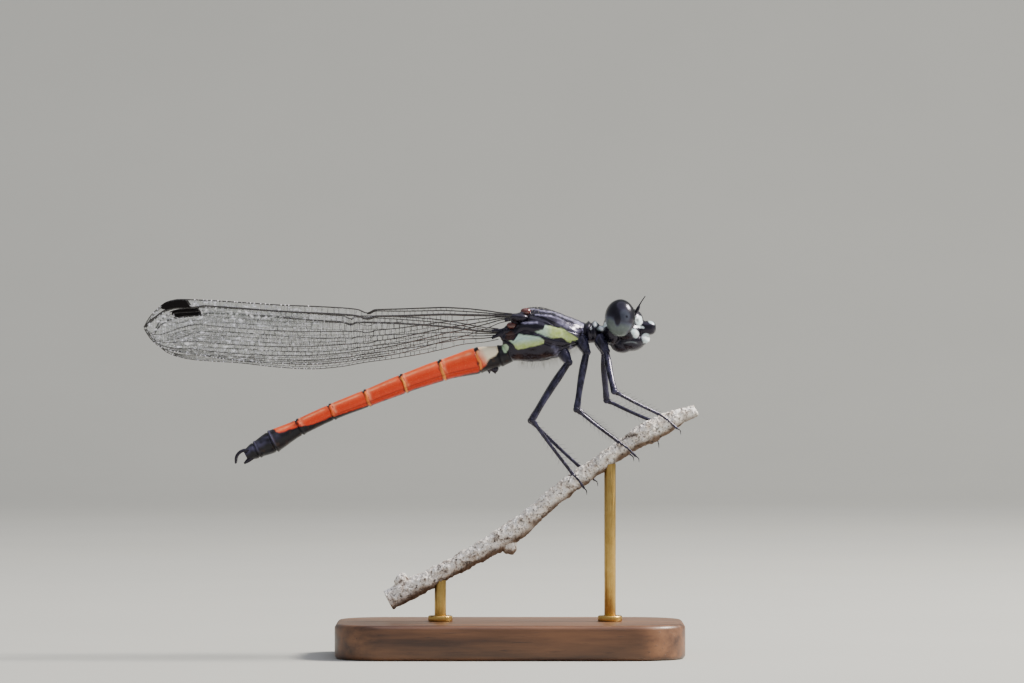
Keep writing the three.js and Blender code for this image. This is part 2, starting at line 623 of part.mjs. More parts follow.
// Stand
function roundedPlate({ length, width, corner }) {
  const shape = new THREE.Shape();
  const [x, y] = [length / 2 - corner, width / 2 - corner];
  shape.absarc(x, y, corner, 0, Math.PI / 2);
  shape.absarc(-x, y, corner, Math.PI / 2, Math.PI);
  shape.absarc(-x, -y, corner, Math.PI, 1.5 * Math.PI);
  shape.absarc(x, -y, corner, 1.5 * Math.PI, 2 * Math.PI);
  return shape;
}

const plateOutline = roundedPlate({
  length: BASE.length - 2 * BASE.bevel,
  width: BASE.width - 2 * BASE.bevel,
  corner: BASE.corner - BASE.bevel,
});
const plate = new THREE.ExtrudeGeometry(plateOutline, {
  depth: BASE.height - 2 * BASE.bevel,
  bevelThickness: BASE.bevel,
  bevelSize: BASE.bevel,
  bevelSegments: 2,
  curveSegments: 4,
});
plate.translate(0, 0, BASE.bevel);
addNode("stand_base", solidOf(plate), FINISH.walnut);

const twigLine = new THREE.CatmullRomCurve3(twigPath, false, "centripetal").getSpacedPoints(TWIG_LINE_POINTS);
for (const [rodName, x] of Object.entries(RODS)) {
  const above = twigLine.find((point) => point.x > x);
  const rod = limb({
    start: new THREE.Vector3(x, 0, BASE.height + GAP),
    end: new THREE.Vector3(x, 0, above.z),
    radii: [[0, ROD_RADIUS], [1, ROD_RADIUS]],
    sides: ROD_SIDES,
  });
  addNode(rodName, trim(rod, [twigRoom]), FINISH.brass);
}

export default model;
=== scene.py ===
import bisect
import math
import random

import bmesh
import bpy
from mathutils import Matrix, Vector, noise


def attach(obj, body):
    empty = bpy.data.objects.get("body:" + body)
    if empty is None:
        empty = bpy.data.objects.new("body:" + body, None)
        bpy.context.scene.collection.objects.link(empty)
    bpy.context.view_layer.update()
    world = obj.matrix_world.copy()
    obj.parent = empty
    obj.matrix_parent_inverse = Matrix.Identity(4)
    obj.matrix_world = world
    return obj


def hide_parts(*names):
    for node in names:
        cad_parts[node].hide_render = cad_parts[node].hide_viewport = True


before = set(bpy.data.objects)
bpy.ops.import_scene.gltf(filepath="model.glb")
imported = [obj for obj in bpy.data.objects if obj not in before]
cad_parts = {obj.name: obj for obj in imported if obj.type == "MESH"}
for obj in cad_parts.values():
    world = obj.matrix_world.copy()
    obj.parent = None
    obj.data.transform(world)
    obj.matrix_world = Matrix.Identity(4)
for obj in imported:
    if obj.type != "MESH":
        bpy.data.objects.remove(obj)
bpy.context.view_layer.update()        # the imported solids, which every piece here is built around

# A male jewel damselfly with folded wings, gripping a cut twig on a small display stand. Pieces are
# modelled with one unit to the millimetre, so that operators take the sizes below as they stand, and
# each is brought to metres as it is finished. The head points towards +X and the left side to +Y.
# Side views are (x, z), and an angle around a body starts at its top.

bl_info = {
    "name": "Jewel damselfly on a display stand",
    "version": (1, 0, 0),
    "blender": (4, 5, 0),
    "location": "3D View > Sidebar > Damselfly",
    "description": "Builds a life-size damselfly with its twig perch and stand around its packed solids",
    "category": "Add Mesh",
}

MM = 0.001
BODY = "root"
SIDES = {"right": -1, "left": 1}

# Driving sizes, in millimetres, as the solids have them

# Head: each form's centre and half size
EYE_CENTRE, EYE_HALF = (7.586, 1.5, 23.31), (1.03, 0.95, 1.29)
HEAD_FORMS = {
    "vertex": ((7.66, 0, 23.4), (0.95, 1.5, 1.0)),
    "frons": ((8.45, 0, 23.1), (0.75, 1.05, 0.85)),
    "occiput": ((7.1, 0, 22.5), (0.72, 1.25, 1.15)),
    "gena": ((8.15, 0, 22.4), (1.0, 1.35, 0.8)),
    "anteclypeus": ((9.2, 0, 22.2), (0.48, 0.66, 0.36)),
    "mandibles": ((8.34, 0, 21.72), (1.0, 1.0, 0.72)),
    "labium": ((7.75, 0, 21.5), (0.82, 0.75, 0.62)),
}
SNOUT = ((9.45, 0, 22.62), (0.62, 0.72, 0.5))
LABRUM = ((9.15, 0, 21.86), (0.5, 0.75, 0.42))
OCELLI = ((8.35, 0, 23.95), (7.95, 0.42, 24.28), (7.95, -0.42, 24.28))
OCELLUS_HALF = (0.17, 0.17, 0.17)
MOUTH, MOUTH_SLOPE, MOUTH_WIDTH, MOUTH_DEPTH = (8.4, 21.45), 0.12, 0.06, 0.05  # the groove of the lips
# Pale marks of the face as side-view ovals, with painted highlights on the snout's top, the chin and behind
# the eye: centre, half size and softness
FACE_PATCH, FACE_HOLE = ((8.88, 23.14), (0.26, 0.33), 0.2), ((8.78, 23.16), (0.11, 0.14), 0.5)
CHEEK_STRIPE = ((8.97, 22.68), (0.3, 0.1), 0.12)
JAW_MARKS = (((8.54, 22.35), (0.2, 0.22), 0.3), ((8.68, 22.18), (0.19, 0.23), 0.3))
LIP_MARK = ((9.36, 21.9), (0.3, 0.36), 0.2)
MUZZLE_HIGHLIGHT = ((9.7, 23.04), (0.22, 0.1), 0.4)
CHIN_GLEAM = ((8.35, 21.6), (0.42, 0.3), 0.5)
NAPE_HIGHLIGHT = ((6.45, 22.85), (0.26, 0.17), 0.12)
FACE_WOBBLE = 0.07  # how far the marks' edges wander
# Light front and dark blots of the eye, from its centre
EYE_FRONT = ((0.25, 0.1), (0.5, 0.6), 0.5)
EYE_BLOTS = (((-0.22, -0.08), (0.19, 0.44), 0.4), ((0.42, 0.08), (0.05, 0.06), 0.4))
ANTENNA_PATH = ((8.3, 0.75, 23.15), (8.75, 0.9, 23.8), (8.95, 0.95, 24.25), (9.33, 1.05, 24.83))
# Radii of a shoot are given as (length share, radius)
ANTENNA_RADII = ((0, 0.13), (0.3, 0.12), (0.52, 0.1), (0.62, 0.035), (1, 0.016))
# Neck and thorax, from rear to front: x, top, bottom and half width
PROTHORAX = (
    (5.0, 22.9, 21.85, 0.66),
    (5.25, 22.98, 21.72, 0.78),
    (5.42, 23.12, 21.6, 0.98),
    (5.6, 22.98, 21.56, 0.86),
    (5.85, 23.14, 21.56, 1.0),
    (6.05, 22.98, 21.7, 0.8),
    (6.25, 22.8, 22.0, 0.52),
    (6.75, 22.72, 22.15, 0.42),
)
THORAX = (
    (-0.52, 22.3, 21.4, 0.62),
    (-0.36, 22.66, 20.95, 0.86),
    (-0.05, 22.92, 20.45, 1.08),
    (0.3, 23.12, 20.32, 1.24),
    (0.62, 23.5, 20.32, 1.34),
    (0.95, 23.86, 20.3, 1.42),
    (1.4, 24.0, 20.27, 1.5),
    (1.9, 24.02, 20.27, 1.57),
    (2.4, 23.95, 20.33, 1.6),
    (2.9, 23.8, 20.48, 1.6),
    (3.4, 23.62, 20.7, 1.54),
    (3.9, 23.42, 20.96, 1.42),
    (4.35, 23.26, 21.2, 1.26),
    (4.7, 23.12, 21.4, 1.05),
    (4.92, 23.0, 21.6, 0.84),
    (5.15, 22.92, 21.8, 0.6),
)
FLANK_FULLNESS = 0.85  # below 1, the sides are fuller than an oval's
# Grooved seams of the flank, as (x, share of the way from the back down to the belly)
SEAMS = (
    ((-0.5, 0.1), (1.4, 0.155), (3.2, 0.3), (4.3, 0.44), (4.95, 0.58)),
    ((-0.5, 0.3), (1.4, 0.42), (3.2, 0.6), (4.3, 0.76), (4.95, 0.8)),
    ((-0.5, 0.5), (1.4, 0.55), (3.2, 0.76), (4.3, 0.9), (4.95, 0.93)),
)
# The flank's length from back to belly, its seams' width and depth, and the height of the back's keel
FLANK_LENGTH, SEAM_WIDTH, SEAM_DEPTH, KEEL = 3.0, 0.07, 0.1, 0.06
# Outlines of the pale side patches
PATCHES = {
    "hind": ((0.57, 22.23), (1.05, 22.13), (1.57, 22.08), (2.05, 21.97), (2.37, 21.76), (2.32, 21.54),
             (2.0, 21.44), (1.57, 21.34), (0.99, 21.21), (0.57, 21.15), (0.36, 21.23), (0.26, 21.44),
             (0.15, 21.63), (0.41, 21.92)),
    "shoulder": ((1.68, 22.37), (2.32, 22.52), (2.39, 22.79), (2.74, 22.79), (3.06, 22.66), (3.26, 22.6),
                 (3.48, 22.66), (3.79, 22.5), (4.11, 22.23), (4.59, 21.97), (4.77, 21.81), (4.63, 21.73),
                 (4.27, 21.76), (4.16, 21.6), (3.95, 21.7), (3.58, 21.97), (3.21, 21.92), (2.94, 21.89),
                 (2.52, 22.02), (2.1, 22.18)),
    "seam": ((-0.1, 21.75), (0.12, 21.78), (0.34, 21.6), (0.28, 21.5), (0.05, 21.62)),
    "waist": ((-0.57, 21.38), (-0.46, 21.5), (-0.2, 21.48), (-0.06, 21.32), (-0.11, 21.12), (-0.28, 20.92),
              (-0.38, 20.93), (-0.5, 21.15)),
}
# Swollen side plates: centre, half length and width, slope and height
PLATES = (
    ((1.45, 22.7), (1.0, 0.36), 0.0, 0.17),
    ((2.3, 23.2), (1.5, 0.3), -0.12, 0.1),
    ((4.0, 22.55), (1.1, 0.3), -0.75, 0.08),
    ((1.3, 21.7), (1.15, 0.5), 0.0, 0.07),
    ((3.3, 20.95), (0.5, 0.4), 0.2, 0.1),
)
# Painted sheen: pale lilac-grey highlight lines and reflections painted along the ridges, plates and coxae:
# each stroke's two ends, half width and strength
PAINTED_SHEEN = (
    ((1.4, 23.93), (3.2, 23.66), 0.05, 0.6),
    ((3.2, 23.62), (4.6, 23.06), 0.09, 0.9),
    ((4.5, 23.1), (5.2, 22.72), 0.14, 0.9),
    ((1.75, 23.53), (2.9, 23.44), 0.04, 0.7),
    ((2.9, 23.44), (3.7, 23.1), 0.05, 0.5),
    ((0.8, 22.96), (1.85, 22.97), 0.06, 0.95),
    ((3.4, 22.95), (4.6, 22.35), 0.22, 0.4),
    ((4.95, 22.6), (5.1, 21.95), 0.08, 0.5),
    ((3.0, 21.35), (3.3, 20.8), 0.16, 0.45),
    ((3.4, 20.95), (3.9, 20.75), 0.08, 0.7),
    ((4.15, 21.35), (4.3, 21.1), 0.07, 0.6),
    ((4.9, 21.7), (5.05, 21.45), 0.07, 0.6),
)
# Painted white highlights on the neck, and brown marks of the thorax: strength, centre, half size and
# softness
COLLAR_HIGHLIGHTS = (
    (0.85, (5.86, 22.88), (0.15, 0.17), 0.4),
    (0.9, (6.33, 22.62), (0.26, 0.17), 0.4),
    (0.5, (5.58, 22.6), (0.08, 0.1), 0.5),
)
BROWN_MARKS = (
    (0.4, (0.58, 20.6), (0.22, 0.25), 0.7),
    (0.35, (2.4, 20.75), (0.4, 0.14), 0.7),
    (0.9, (0.0, 22.1), (0.32, 0.3), 0.5),
)
HAIR_PLACES = (((0.1, 0.9), (0.25, 0.5)), ((2.8, 3.4), (0.35, 0.75)))  # back and belly: angles, lengths
HAIR_REACH, HAIR_RADIUS = (0.6, 4.7), 0.006  # the reach is the haired stretch of the thorax, by x
# Forms at the wings' roots: centre and half size
HINGE_BLOCKS = (
    ((0.62, 1.22, 23.34), (0.62, 0.36, 0.3)),
    ((0.3, 1.42, 23.4), (0.4, 0.2, 0.2)),
    ((0.5, 0.8, 23.1), (0.45, 0.4, 0.3)),
    ((-0.15, 0.62, 22.42), (0.4, 0.3, 0.26)),
    ((-0.55, 0.6, 22.25), (0.36, 0.2, 0.3)),
    ((-0.3, 0.5, 21.95), (0.35, 0.35, 0.3)),
)
HINGE_PLATES = (((1.08, 0.86, 23.74), (0.36, 0.3, 0.25)), ((0.14, 0.84, 22.8), (0.36, 0.28, 0.24)))
# Where the abdomen's rings meet, and each ring's height at its front and rear
ABDOMEN_JOINTS = (
    (0.3, 20.98), (-0.75, 20.68), (-2.21, 20.38), (-4.72, 19.69), (-7.38, 18.76), (-9.9, 17.76),
    (-12.31, 16.81), (-14.52, 15.77), (-16.38, 14.78), (-17.48, 14.21), (-18.21, 13.83),
)
ABDOMEN_HEIGHTS = (
    (1.2, 1.45), (1.5, 1.76), (1.84, 1.46), (1.48, 1.33), (1.34, 1.2),
    (1.2, 1.13), (1.12, 1.16), (1.16, 1.58), (1.52, 1.18), (1.17, 0.8),
)
ABDOMEN_WIDTH = 1.1  # of its height
# Raised rim before each joint, groove after it, and side fold: height, place and width
JOINT_RIM, JOINT_GROOVE, SIDE_FOLD = (0.045, -0.1, 0.09), (-0.06, 0.03, 0.045), (-0.025, 0.75, 0.03)
ABDOMEN_RINGS = 10
GENITAL_LOBES = (
    ((-1.5, 0, 19.95), (0.58, 0.36, 0.34)),
    ((-1.05, 0, 19.82), (0.28, 0.26, 0.3)),
    ((-1.86, 0, 19.86), (0.26, 0.24, 0.26)),
    ((-1.02, 0, 19.6), (0.07, 0.1, 0.17)),
    ((-1.42, 0, 19.58), (0.07, 0.1, 0.14)),
)
ORANGE_JOINTS = {2: 0.7, 3: 0.9, 4: 0.9, 5: 0.6, 6: 0.25, 7: 0}  # strength of each joint's pale ring
LAST_ORANGE_JOINT = 7
WAIST_END = 0.98  # knot where the pale waist ends
# The belly's black starts at this share of the way down, by knot
INK_EDGE = (
    (0, 0), (1.0, 0.3), (1.15, 0.42), (1.5, 0.5), (1.78, 0.8), (2.2, 0.93), (3, 0.97), (5, 0.93), (5.5, 0.85),
    (6, 0.8), (6.5, 0.7), (6.9, 0.5), (7.1, 0.4), (7.6, 0.3), (7.8, -0.1), (10, -0.1),
)
CERCUS_PATH = (
    (-17.75, 0.3, 14.16), (-18.35, 0.4, 14.18), (-18.68, 0.47, 14.0), (-18.86, 0.48, 13.7),
    (-18.9, 0.42, 13.28),
)
CERCUS_RADII = ((0, 0.17), (0.3, 0.12), (0.7, 0.1), (0.9, 0.08), (1, 0.05))
TAIL_SPIKE = ((-17.7, 0.16, 13.78), (-18.1, 0.16, 13.45), (-18.32, 0.16, 13.28))
TAIL_SPIKE_RADII = ((0, 0.2), (0.6, 0.15), (1, 0.06))
# Wings, measured along the line from root to tip: stand is the distance from the middle plane at root
# and tip, costa and hind the leading and rear edges as (length share, height), spot its length shares
WINGS = {
    "forewing": {
        "root": (0.14, 23.45),
        "tip": (-25.17, 22.62),
        "stand": (1.52, 0.98),
        "costa": (
            (0, 0.15), (0.033, 0.25), (0.065, 0.4), (0.128, 0.62), (0.2, 0.745), (0.287, 0.735),
            (0.37, 0.745), (0.392, 0.52), (0.42, 0.8), (0.496, 1.02), (0.632, 1.28), (0.771, 1.63),
            (0.875, 1.85), (0.905, 1.88), (0.935, 1.74), (0.962, 1.26), (0.985, 0.68), (1, 0.05),
        ),
        "hind": (
            (0, -0.3), (0.033, -0.45), (0.065, -0.76), (0.134, -1.3), (0.183, -1.56), (0.253, -2.0),
            (0.322, -2.38), (0.406, -2.63), (0.469, -2.79), (0.545, -2.86), (0.632, -2.75), (0.747, -2.45),
            (0.861, -1.94), (0.935, -1.57), (0.965, -1.22), (0.985, -0.7), (1, -0.05),
        ),
        "notch": 0.392,
        "spot": (0.876, 0.95),
        "hinge": ((1.08, 0.86, 23.6), (0.5, 1.2, 23.42)),
    },
    "hindwing": {
        "root": (-0.79, 22.2),
        "tip": (-24.6, 22.07),
        "stand": (0.6, 0.31),
        "costa": (
            (0, 0.36), (0.048, 0.49), (0.118, 0.81), (0.163, 0.99), (0.229, 1.15), (0.34, 1.28), (0.41, 1.3),
            (0.427, 1.1), (0.45, 1.32), (0.5, 1.4), (0.62, 1.63), (0.75, 1.83), (0.878, 1.95),
            (0.94, 1.74), (0.97, 1.25), (0.988, 0.7), (1, 0.05),
        ),
        "hind": (
            (0, -0.36), (0.044, -0.55), (0.1, -0.68), (0.155, -0.98), (0.229, -1.36), (0.303, -1.64),
            (0.392, -1.92), (0.459, -2.19), (0.539, -2.33), (0.631, -2.21), (0.754, -1.88), (0.86, -1.7),
            (0.909, -1.55), (0.954, -1.2), (0.984, -0.65), (1, -0.05),
        ),
        "notch": 0.427,
        "spot": (0.862, 0.944),
        "hinge": ((0.14, 0.7, 22.8), (-0.45, 0.6, 22.4)),
    },
}
FLAT_END = 0.06  # length share at each end in which the veins' lifts fade out
# Around the rear wings' spots there are no cross veins, and the film stays clear
SPOT_CLEARING = ((-22.3, 23.7), (1.0, 0.36), 0.12)
SPOT_HALO = ((-22.3, 23.7), (1.15, 0.42), 0.2)
# The strong vein behind the leading edge, as (length share, chord share)
FRONT_VEIN = ((0, 0.3), (0.12, 0.24), (0.3, 0.16), (0.47, 0.122), (0.83, 0.1), (0.87, 0.15), (0.945, 0.16),
              (1, 0.2))
SPOT_DEPTH, SPOT_LIFT, SPOT_THICKNESS = 0.155, 0.06, 0.15  # the depth is a chord share
# Chord shares of the other chief veins at the wing's root and tip
CHIEF_VEINS = ((0.42, 0.45), (0.56, 0.78), (0.72, 0.93))
# Lesser long veins in each gap between chief veins: where each starts, and its share of the gap
LESSER_VEINS = {
    1: ((0.3, 0.5), (0.55, 0.25), (0.55, 0.75)),
    2: ((0.22, 0.5), (0.45, 0.25), (0.45, 0.75), (0.78, 0.38), (0.78, 0.62)),
    3: ((0.24, 0.5),),
    4: ((0.18, 0.5), (0.32, 0.25), (0.32, 0.75)),
}
# Radii of the long veins at root and tip, and their lift off the wing
VEIN_KINDS = {
    "leading edge": ((0.045, 0.035), 0.0),
    "under the edge": ((0.034, 0.03), -0.04),
    "front": ((0.075, 0.055), 0.05),
    "chief": ((0.036, 0.02), 0.05),
    "rear edge": ((0.026, 0.024), 0.0),
    "lesser": ((0.015, 0.012), -0.03),
}
CROSS_VEIN_RADIUS = 0.0115
CELL_SHIFT, CELL_LEAN = 0.16, 0.12  # how far cross veins stray, of a cell's length
NARROWEST_CELL = 0.06
THINNED_ROOT, NET_END = 0.16, 0.985  # length shares: sparse cross veins up to the first, none after the last
FINE_VEINS_FROM = (0.4, 0.9)  # length shares between which the cross veins turn fine and silvery
# Bright beads along the outer half's edges: places, first place and step as length shares, radii
EDGE_BEADS, BEADS_START, BEAD_STEP, BEAD_SHIFT = 44, 0.52, 0.0105, 0.003
BEAD_RADII, LEAST_BEAD = (0.03, 0.05), 0.036
LESSER_END = 0.94  # length share at which the lesser long veins end
# The two threads of a wing's stalk: height off the hinge's points, and chord share at the wing's root
STALK_THREADS = ((0.06, 0.2), (-0.06, 0.8))
STALK_RADII, STALK_END = ((0, 0.2), (0.6, 0.15), (1, 0.09)), 0.02  # the end is a length share
# Legs: body, hip, knee, ankle and toe
LEGS = {
    "leg_fore_right": ((6.1, -0.42, 22.0), (6.62, -0.85, 21.02), (7.14, -2.6, 18.28), (10.21, -1.28, 16.72),
                       (11.5, -0.98, 15.7)),
    "leg_fore_left": ((6.06, 0.42, 22.0), (6.5, 0.85, 20.98), (6.69, 1.7, 17.62), (9.79, 1.28, 16.2),
                      (10.2, 1.0, 14.86)),
    "leg_mid_right": ((4.85, -0.6, 21.9), (5.3, -0.95, 20.95), (4.57, -2.1, 17.03), (7.52, -1.35, 14.76),
                      (8.65, -0.95, 13.8)),
    "leg_mid_left": ((4.8, 0.6, 21.9), (5.24, 0.95, 20.95), (4.66, 2.1, 17.07), (7.41, 1.35, 14.85),
                     (8.35, 1.0, 13.85)),
    "leg_hind_right": ((3.55, -0.65, 21.1), (4.05, -1.05, 20.25), (1.52, -2.1, 16.31), (4.34, -1.4, 12.55),
                       (5.1, -0.98, 11.6)),
    "leg_hind_left": ((3.5, 0.65, 21.1), (4.0, 1.05, 20.25), (1.45, 2.1, 16.2), (5.0, 1.4, 12.85),
                      (5.85, 1.02, 12.1)),
}
LEG_RADII = {
    "coxa": ((0, 0.46), (0.55, 0.38), (1, 0.24)),
    "femur": ((0, 0.2), (0.08, 0.21), (0.3, 0.25), (0.8, 0.21), (0.96, 0.24), (1, 0.16)),
    "tibia": ((0, 0.17), (0.05, 0.19), (0.14, 0.13), (0.9, 0.12), (1, 0.15)),
    "tarsus": ((0, 0.065), (0.8, 0.09), (1, 0.075)),
}
KNEE_HALF, HIP_HALF = (0.24, 0.22, 0.24), (0.27, 0.27, 0.27)
THIGH_BOW, SHIN_SAG, FOOT_ARCH = 0.05, 0.04, 0.08
# Rows of bristles on the shin, the thigh and the foot: count, length and radius
BRISTLE_ROWS = ((11, 0.62, 0.014), (8, 0.3, 0.011), (5, 0.3, 0.01))
CLAW_RADII = ((0, 0.05), (0.5, 0.035), (1, 0.01))
CLAW_CURVE = ((0.26, 0.1, 0.02), (0.32, 0.12, -0.22))  # bend and tip: ahead of the toe, aside and up
# Perch and stand
TWIG_PATH = (
    (-8.4, 3.86), (-6.4, 4.88), (-3.5, 6.4), (0.1, 8.5), (3.6, 11.4), (6, 13.1), (8.3, 14.7), (10.3, 15.8),
    (12.8, 17),
)
TWIG_RADII = (
    (0, 0.7), (0.08, 0.72), (0.16, 0.62), (0.26, 0.66), (0.38, 0.74), (0.5, 0.62), (0.66, 0.6), (0.78, 0.6),
    (0.86, 0.74), (0.93, 0.62), (1, 0.36),
)
TWIG_LUMPS = (((-0.05, 0, 7.62), (0.52, 0.5, 0.62)), ((-7.45, 0, 5.0), (0.5, 0.42, 0.72)))
BARK_RELIEF = ((0.1, 0.9, 1.0), (0.07, 0.32, 2.0), (0.05, 0.16, 3.0))  # depth, lump size and seed
CRACK_DEPTH = 0.09
BASE_SIZE, BASE_CORNER, BASE_EDGE = (24, 13, 2.4), 3.5, 0.3
ROD_PLACES = {"stand_rod_front": 6.9, "stand_rod_rear": -4.8}
ROD_RADIUS, COLLAR_RADIUS, COLLAR_TOP = 0.4, 0.85, 0.41
ROD_SINK, ROD_SHORT = 0.6, 0.45  # how deep the rods go into the base, and end below the twig's middle

# The camera keeps the photograph's side view: millimetres across, and its centre
VIEW_WIDTH, VIEW_CENTRE = 70.6, (0.14, 21.69)
LENS_MM, SENSOR_MM = 200, 36
# Lights: direction, distance and size in metres, power in watts and colour
LIGHTS = {
    "key_light": ((0.72, 0.04, 0.62), 0.4, 0.13, 5.6, "#FFF8EE"),
    "fill_light": ((0.2, -0.3, 0.9), 0.55, 0.8, 1.9, "#ECE9FF"),
}
SKY_COLOUR, SKY_STRENGTH = "#DFE3E8", 0.58
# The floor's depth, and the place and radius of its bend up to the backdrop, as shares of its reach
FLOOR_DEPTH, BEND_PLACE, BEND_RADIUS = 1.4, 0.62, 0.3

# Mesh fineness: a ball's segments and rings, and the grain of moulded skin
FINE, PLAIN, SMALL, TINY = (96, 64), (48, 32), (32, 20), (24, 16)
SKIN_VOXEL, LOBE_VOXEL = 0.05, 0.04
FILM_GRID, SPOT_GRID = (170, 44), (30, 12)


def linear(hex_colour):
    """Turns an sRGB hex colour into linear red, green, blue and alpha."""
    channels = [int(hex_colour[i:i + 2], 16) / 255 for i in (1, 3, 5)]
    return tuple(c / 12.92 if c <= 0.04045 else ((c + 0.055) / 1.055) ** 2.4 for c in channels) + (1.0,)


def mix(a, b, t):
    """Goes straight from a to b as t goes from 0 to 1."""
    return a + (b - a) * t


def rise(low, high, value):
    """Goes from 0 at low to 1 at high with soft ends."""
    t = min(1.0, max(0.0, (value - low) / (high - low)))
    return t * t * (3 - 2 * t)


def hump(offset, width):
    """A soft bump of 1 at offset 0."""
    return math.exp(-((offset / width) ** 2))


def through(pairs):
    """A smooth curve through (x, value) pairs that never swings past them."""
    xs = [x for x, _ in pairs]
    ys = [y for _, y in pairs]
    rises = [(ys[i + 1] - ys[i]) / (xs[i + 1] - xs[i]) for i in range(len(xs) - 1)]
    slopes = [rises[0]]
    for before, after in zip(rises, rises[1:]):
        slopes.append(0 if before * after <= 0 else 2 * before * after / (before + after))
    slopes.append(rises[-1])

    def value(x):
        if x <= xs[0]:
            return ys[0]
        if x >= xs[-1]:
            return ys[-1]
        i = bisect.bisect_right(xs, x) - 1
        width = xs[i + 1] - xs[i]
        t = (x - xs[i]) / width
        straight = t * t * (3 - 2 * t)
        bow = t * (1 - t) * width * (slopes[i] * (1 - t) - slopes[i + 1] * t)
        return mix(ys[i], ys[i + 1], straight) + bow

    return value


class Path:
    """A smooth path through points, asked for by knot number or by share of its length."""

    def __init__(self, points, steps=30):
        points = [Vector(point) for point in points]
        self.ghosts = [2 * points[0] - points[1], *points, 2 * points[-1] - points[-2]]
        self.last = len(points) - 1
        self.knots = [k / steps for k in range(self.last * steps + 1)]
        self.lengths = [0.0]
        places = [self.at_knot(u)[0] for u in self.knots]
        for a, b in zip(places, places[1:]):
            self.lengths.append(self.lengths[-1] + (b - a).length)

    def at_knot(self, u):
        i = min(max(int(u), 0), self.last - 1)
        t = u - i
        a, b, c, d = self.ghosts[i:i + 4]
        square, cube = 2 * a - 5 * b + 4 * c - d, 3 * (b - c) + d - a
        place = 0.5 * (2 * b + (c - a) * t + square * t ** 2 + cube * t ** 3)
        axis = 0.5 * (c - a + 2 * square * t + 3 * cube * t ** 2)
        return place, axis.normalized()

    def at_share(self, part):
        target = min(max(part, 0.0), 1.0) * self.lengths[-1]
        i = min(max(bisect.bisect_right(self.lengths, target) - 1, 0), len(self.knots) - 2)
        t = (target - self.lengths[i]) / (self.lengths[i + 1] - self.lengths[i])
        return self.at_knot(mix(self.knots[i], self.knots[i + 1], t))


def side_view(point, y=0.0):
    """The place of a side-view point."""
    return Vector((point[0], y, point[1]))


def sided(points, side):
    """Points that are given for the left side, on either side."""
    return [(x, side * y, z) for x, y, z in points]


def up_from(axis):
    """The upward direction across an axis that lies in the side view."""
    up = Vector((-axis.z, 0, axis.x)).normalized()
    return -up if up.z < 0 else up


def off_axis(centre, axis, around, half, width=1.0):
    """The place at an angle around an axis that lies in the side view."""
    return centre + up_from(axis) * math.cos(around) * half + Vector((0, math.sin(around) * half * width, 0))


def lowness(around):
    """How far an angle lies down a body's side: 0 at the top, 1 underneath."""
    return (1 - math.cos(around)) / 2


def ragged(place, size, seed=0.0):
    """Smooth noise between -1 and 1 whose lumps are about size millimetres."""
    return noise.noise(Vector(place) / size + Vector((seed, seed * 2, -seed)))


def beside(point, start, end):
    """How far a side-view point lies from a line between two others."""
    dx, dz = end[0] - start[0], end[1] - start[1]
    t = ((point[0] - start[0]) * dx + (point[1] - start[1]) * dz) / (dx * dx + dz * dz)
    t = min(1, max(0, t))
    return math.hypot(point[0] - start[0] - t * dx, point[1] - start[1] - t * dz)


def inside_by(outline, point):
    """How far a side-view point lies inside an outline, negative when outside."""
    x, z = point
    nearest, within = 1e9, False
    for (ax, az), (bx, bz) in zip(outline, outline[1:] + outline[:1]):
        nearest = min(nearest, beside(point, (ax, az), (bx, bz)))
        if (az > z) != (bz > z) and x < ax + (z - az) / (bz - az) * (bx - ax):
            within = not within
    return nearest if within else -nearest


def oval(point, centre, half, soft):
    """1 inside a side-view oval and 0 outside, with a soft edge."""
    reach = math.hypot((point[0] - centre[0]) / half[0], (point[1] - centre[1]) / half[1])
    return 1 - rise(1 - soft, 1 + soft, reach)


def strongest(marks, point):
    """The greatest of several oval marks, each given by its strength and its oval."""
    return max(strength * oval(point, *form) for strength, *form in marks)


# Modelling

def pick(*pieces):
    """Selects just these pieces, in object mode."""
    active = bpy.context.view_layer.objects.active
    if active and active.mode != "OBJECT":
        bpy.ops.object.mode_set(mode="OBJECT")
    bpy.ops.object.select_all(action="DESELECT")
    for piece in pieces:
        piece.select_set(True)
    if pieces:
        bpy.context.view_layer.objects.active = pieces[0]


def added(name):
    """Names the piece that an operator has just made."""
    piece = bpy.context.active_object
    piece.name = piece.data.name = name
    return piece


def apply_modifier(piece, kind, **settings):
    """Shapes a piece with a modifier, for good."""
    pick(piece)
    modifier = piece.modifiers.new(kind.title(), kind)
    for key, value in settings.items():
        setattr(modifier, key, value)
    bpy.ops.object.modifier_apply(modifier=modifier.name)


def recalculate(piece):
    """Turns all faces outwards."""
    pick(piece)
    bpy.ops.object.mode_set(mode="EDIT")
    bpy.ops.mesh.select_all(action="SELECT")
    bpy.ops.mesh.normals_make_consistent(inside=False)
    bpy.ops.object.mode_set(mode="OBJECT")


def select_edges(piece, test):
    """Leaves the piece in edit mode with just the edges that pass the test selected."""
    pick(piece)
    bpy.ops.object.mode_set(mode="EDIT")
    bpy.ops.mesh.select_mode(type="EDGE")
    bpy.ops.mesh.select_all(action="DESELECT")
    mesh = bmesh.from_edit_mesh(piece.data)
    for edge in mesh.edges:
        edge.select_set(test(*(vertex.co for vertex in edge.verts)))
    bmesh.update_edit_mesh(piece.data)


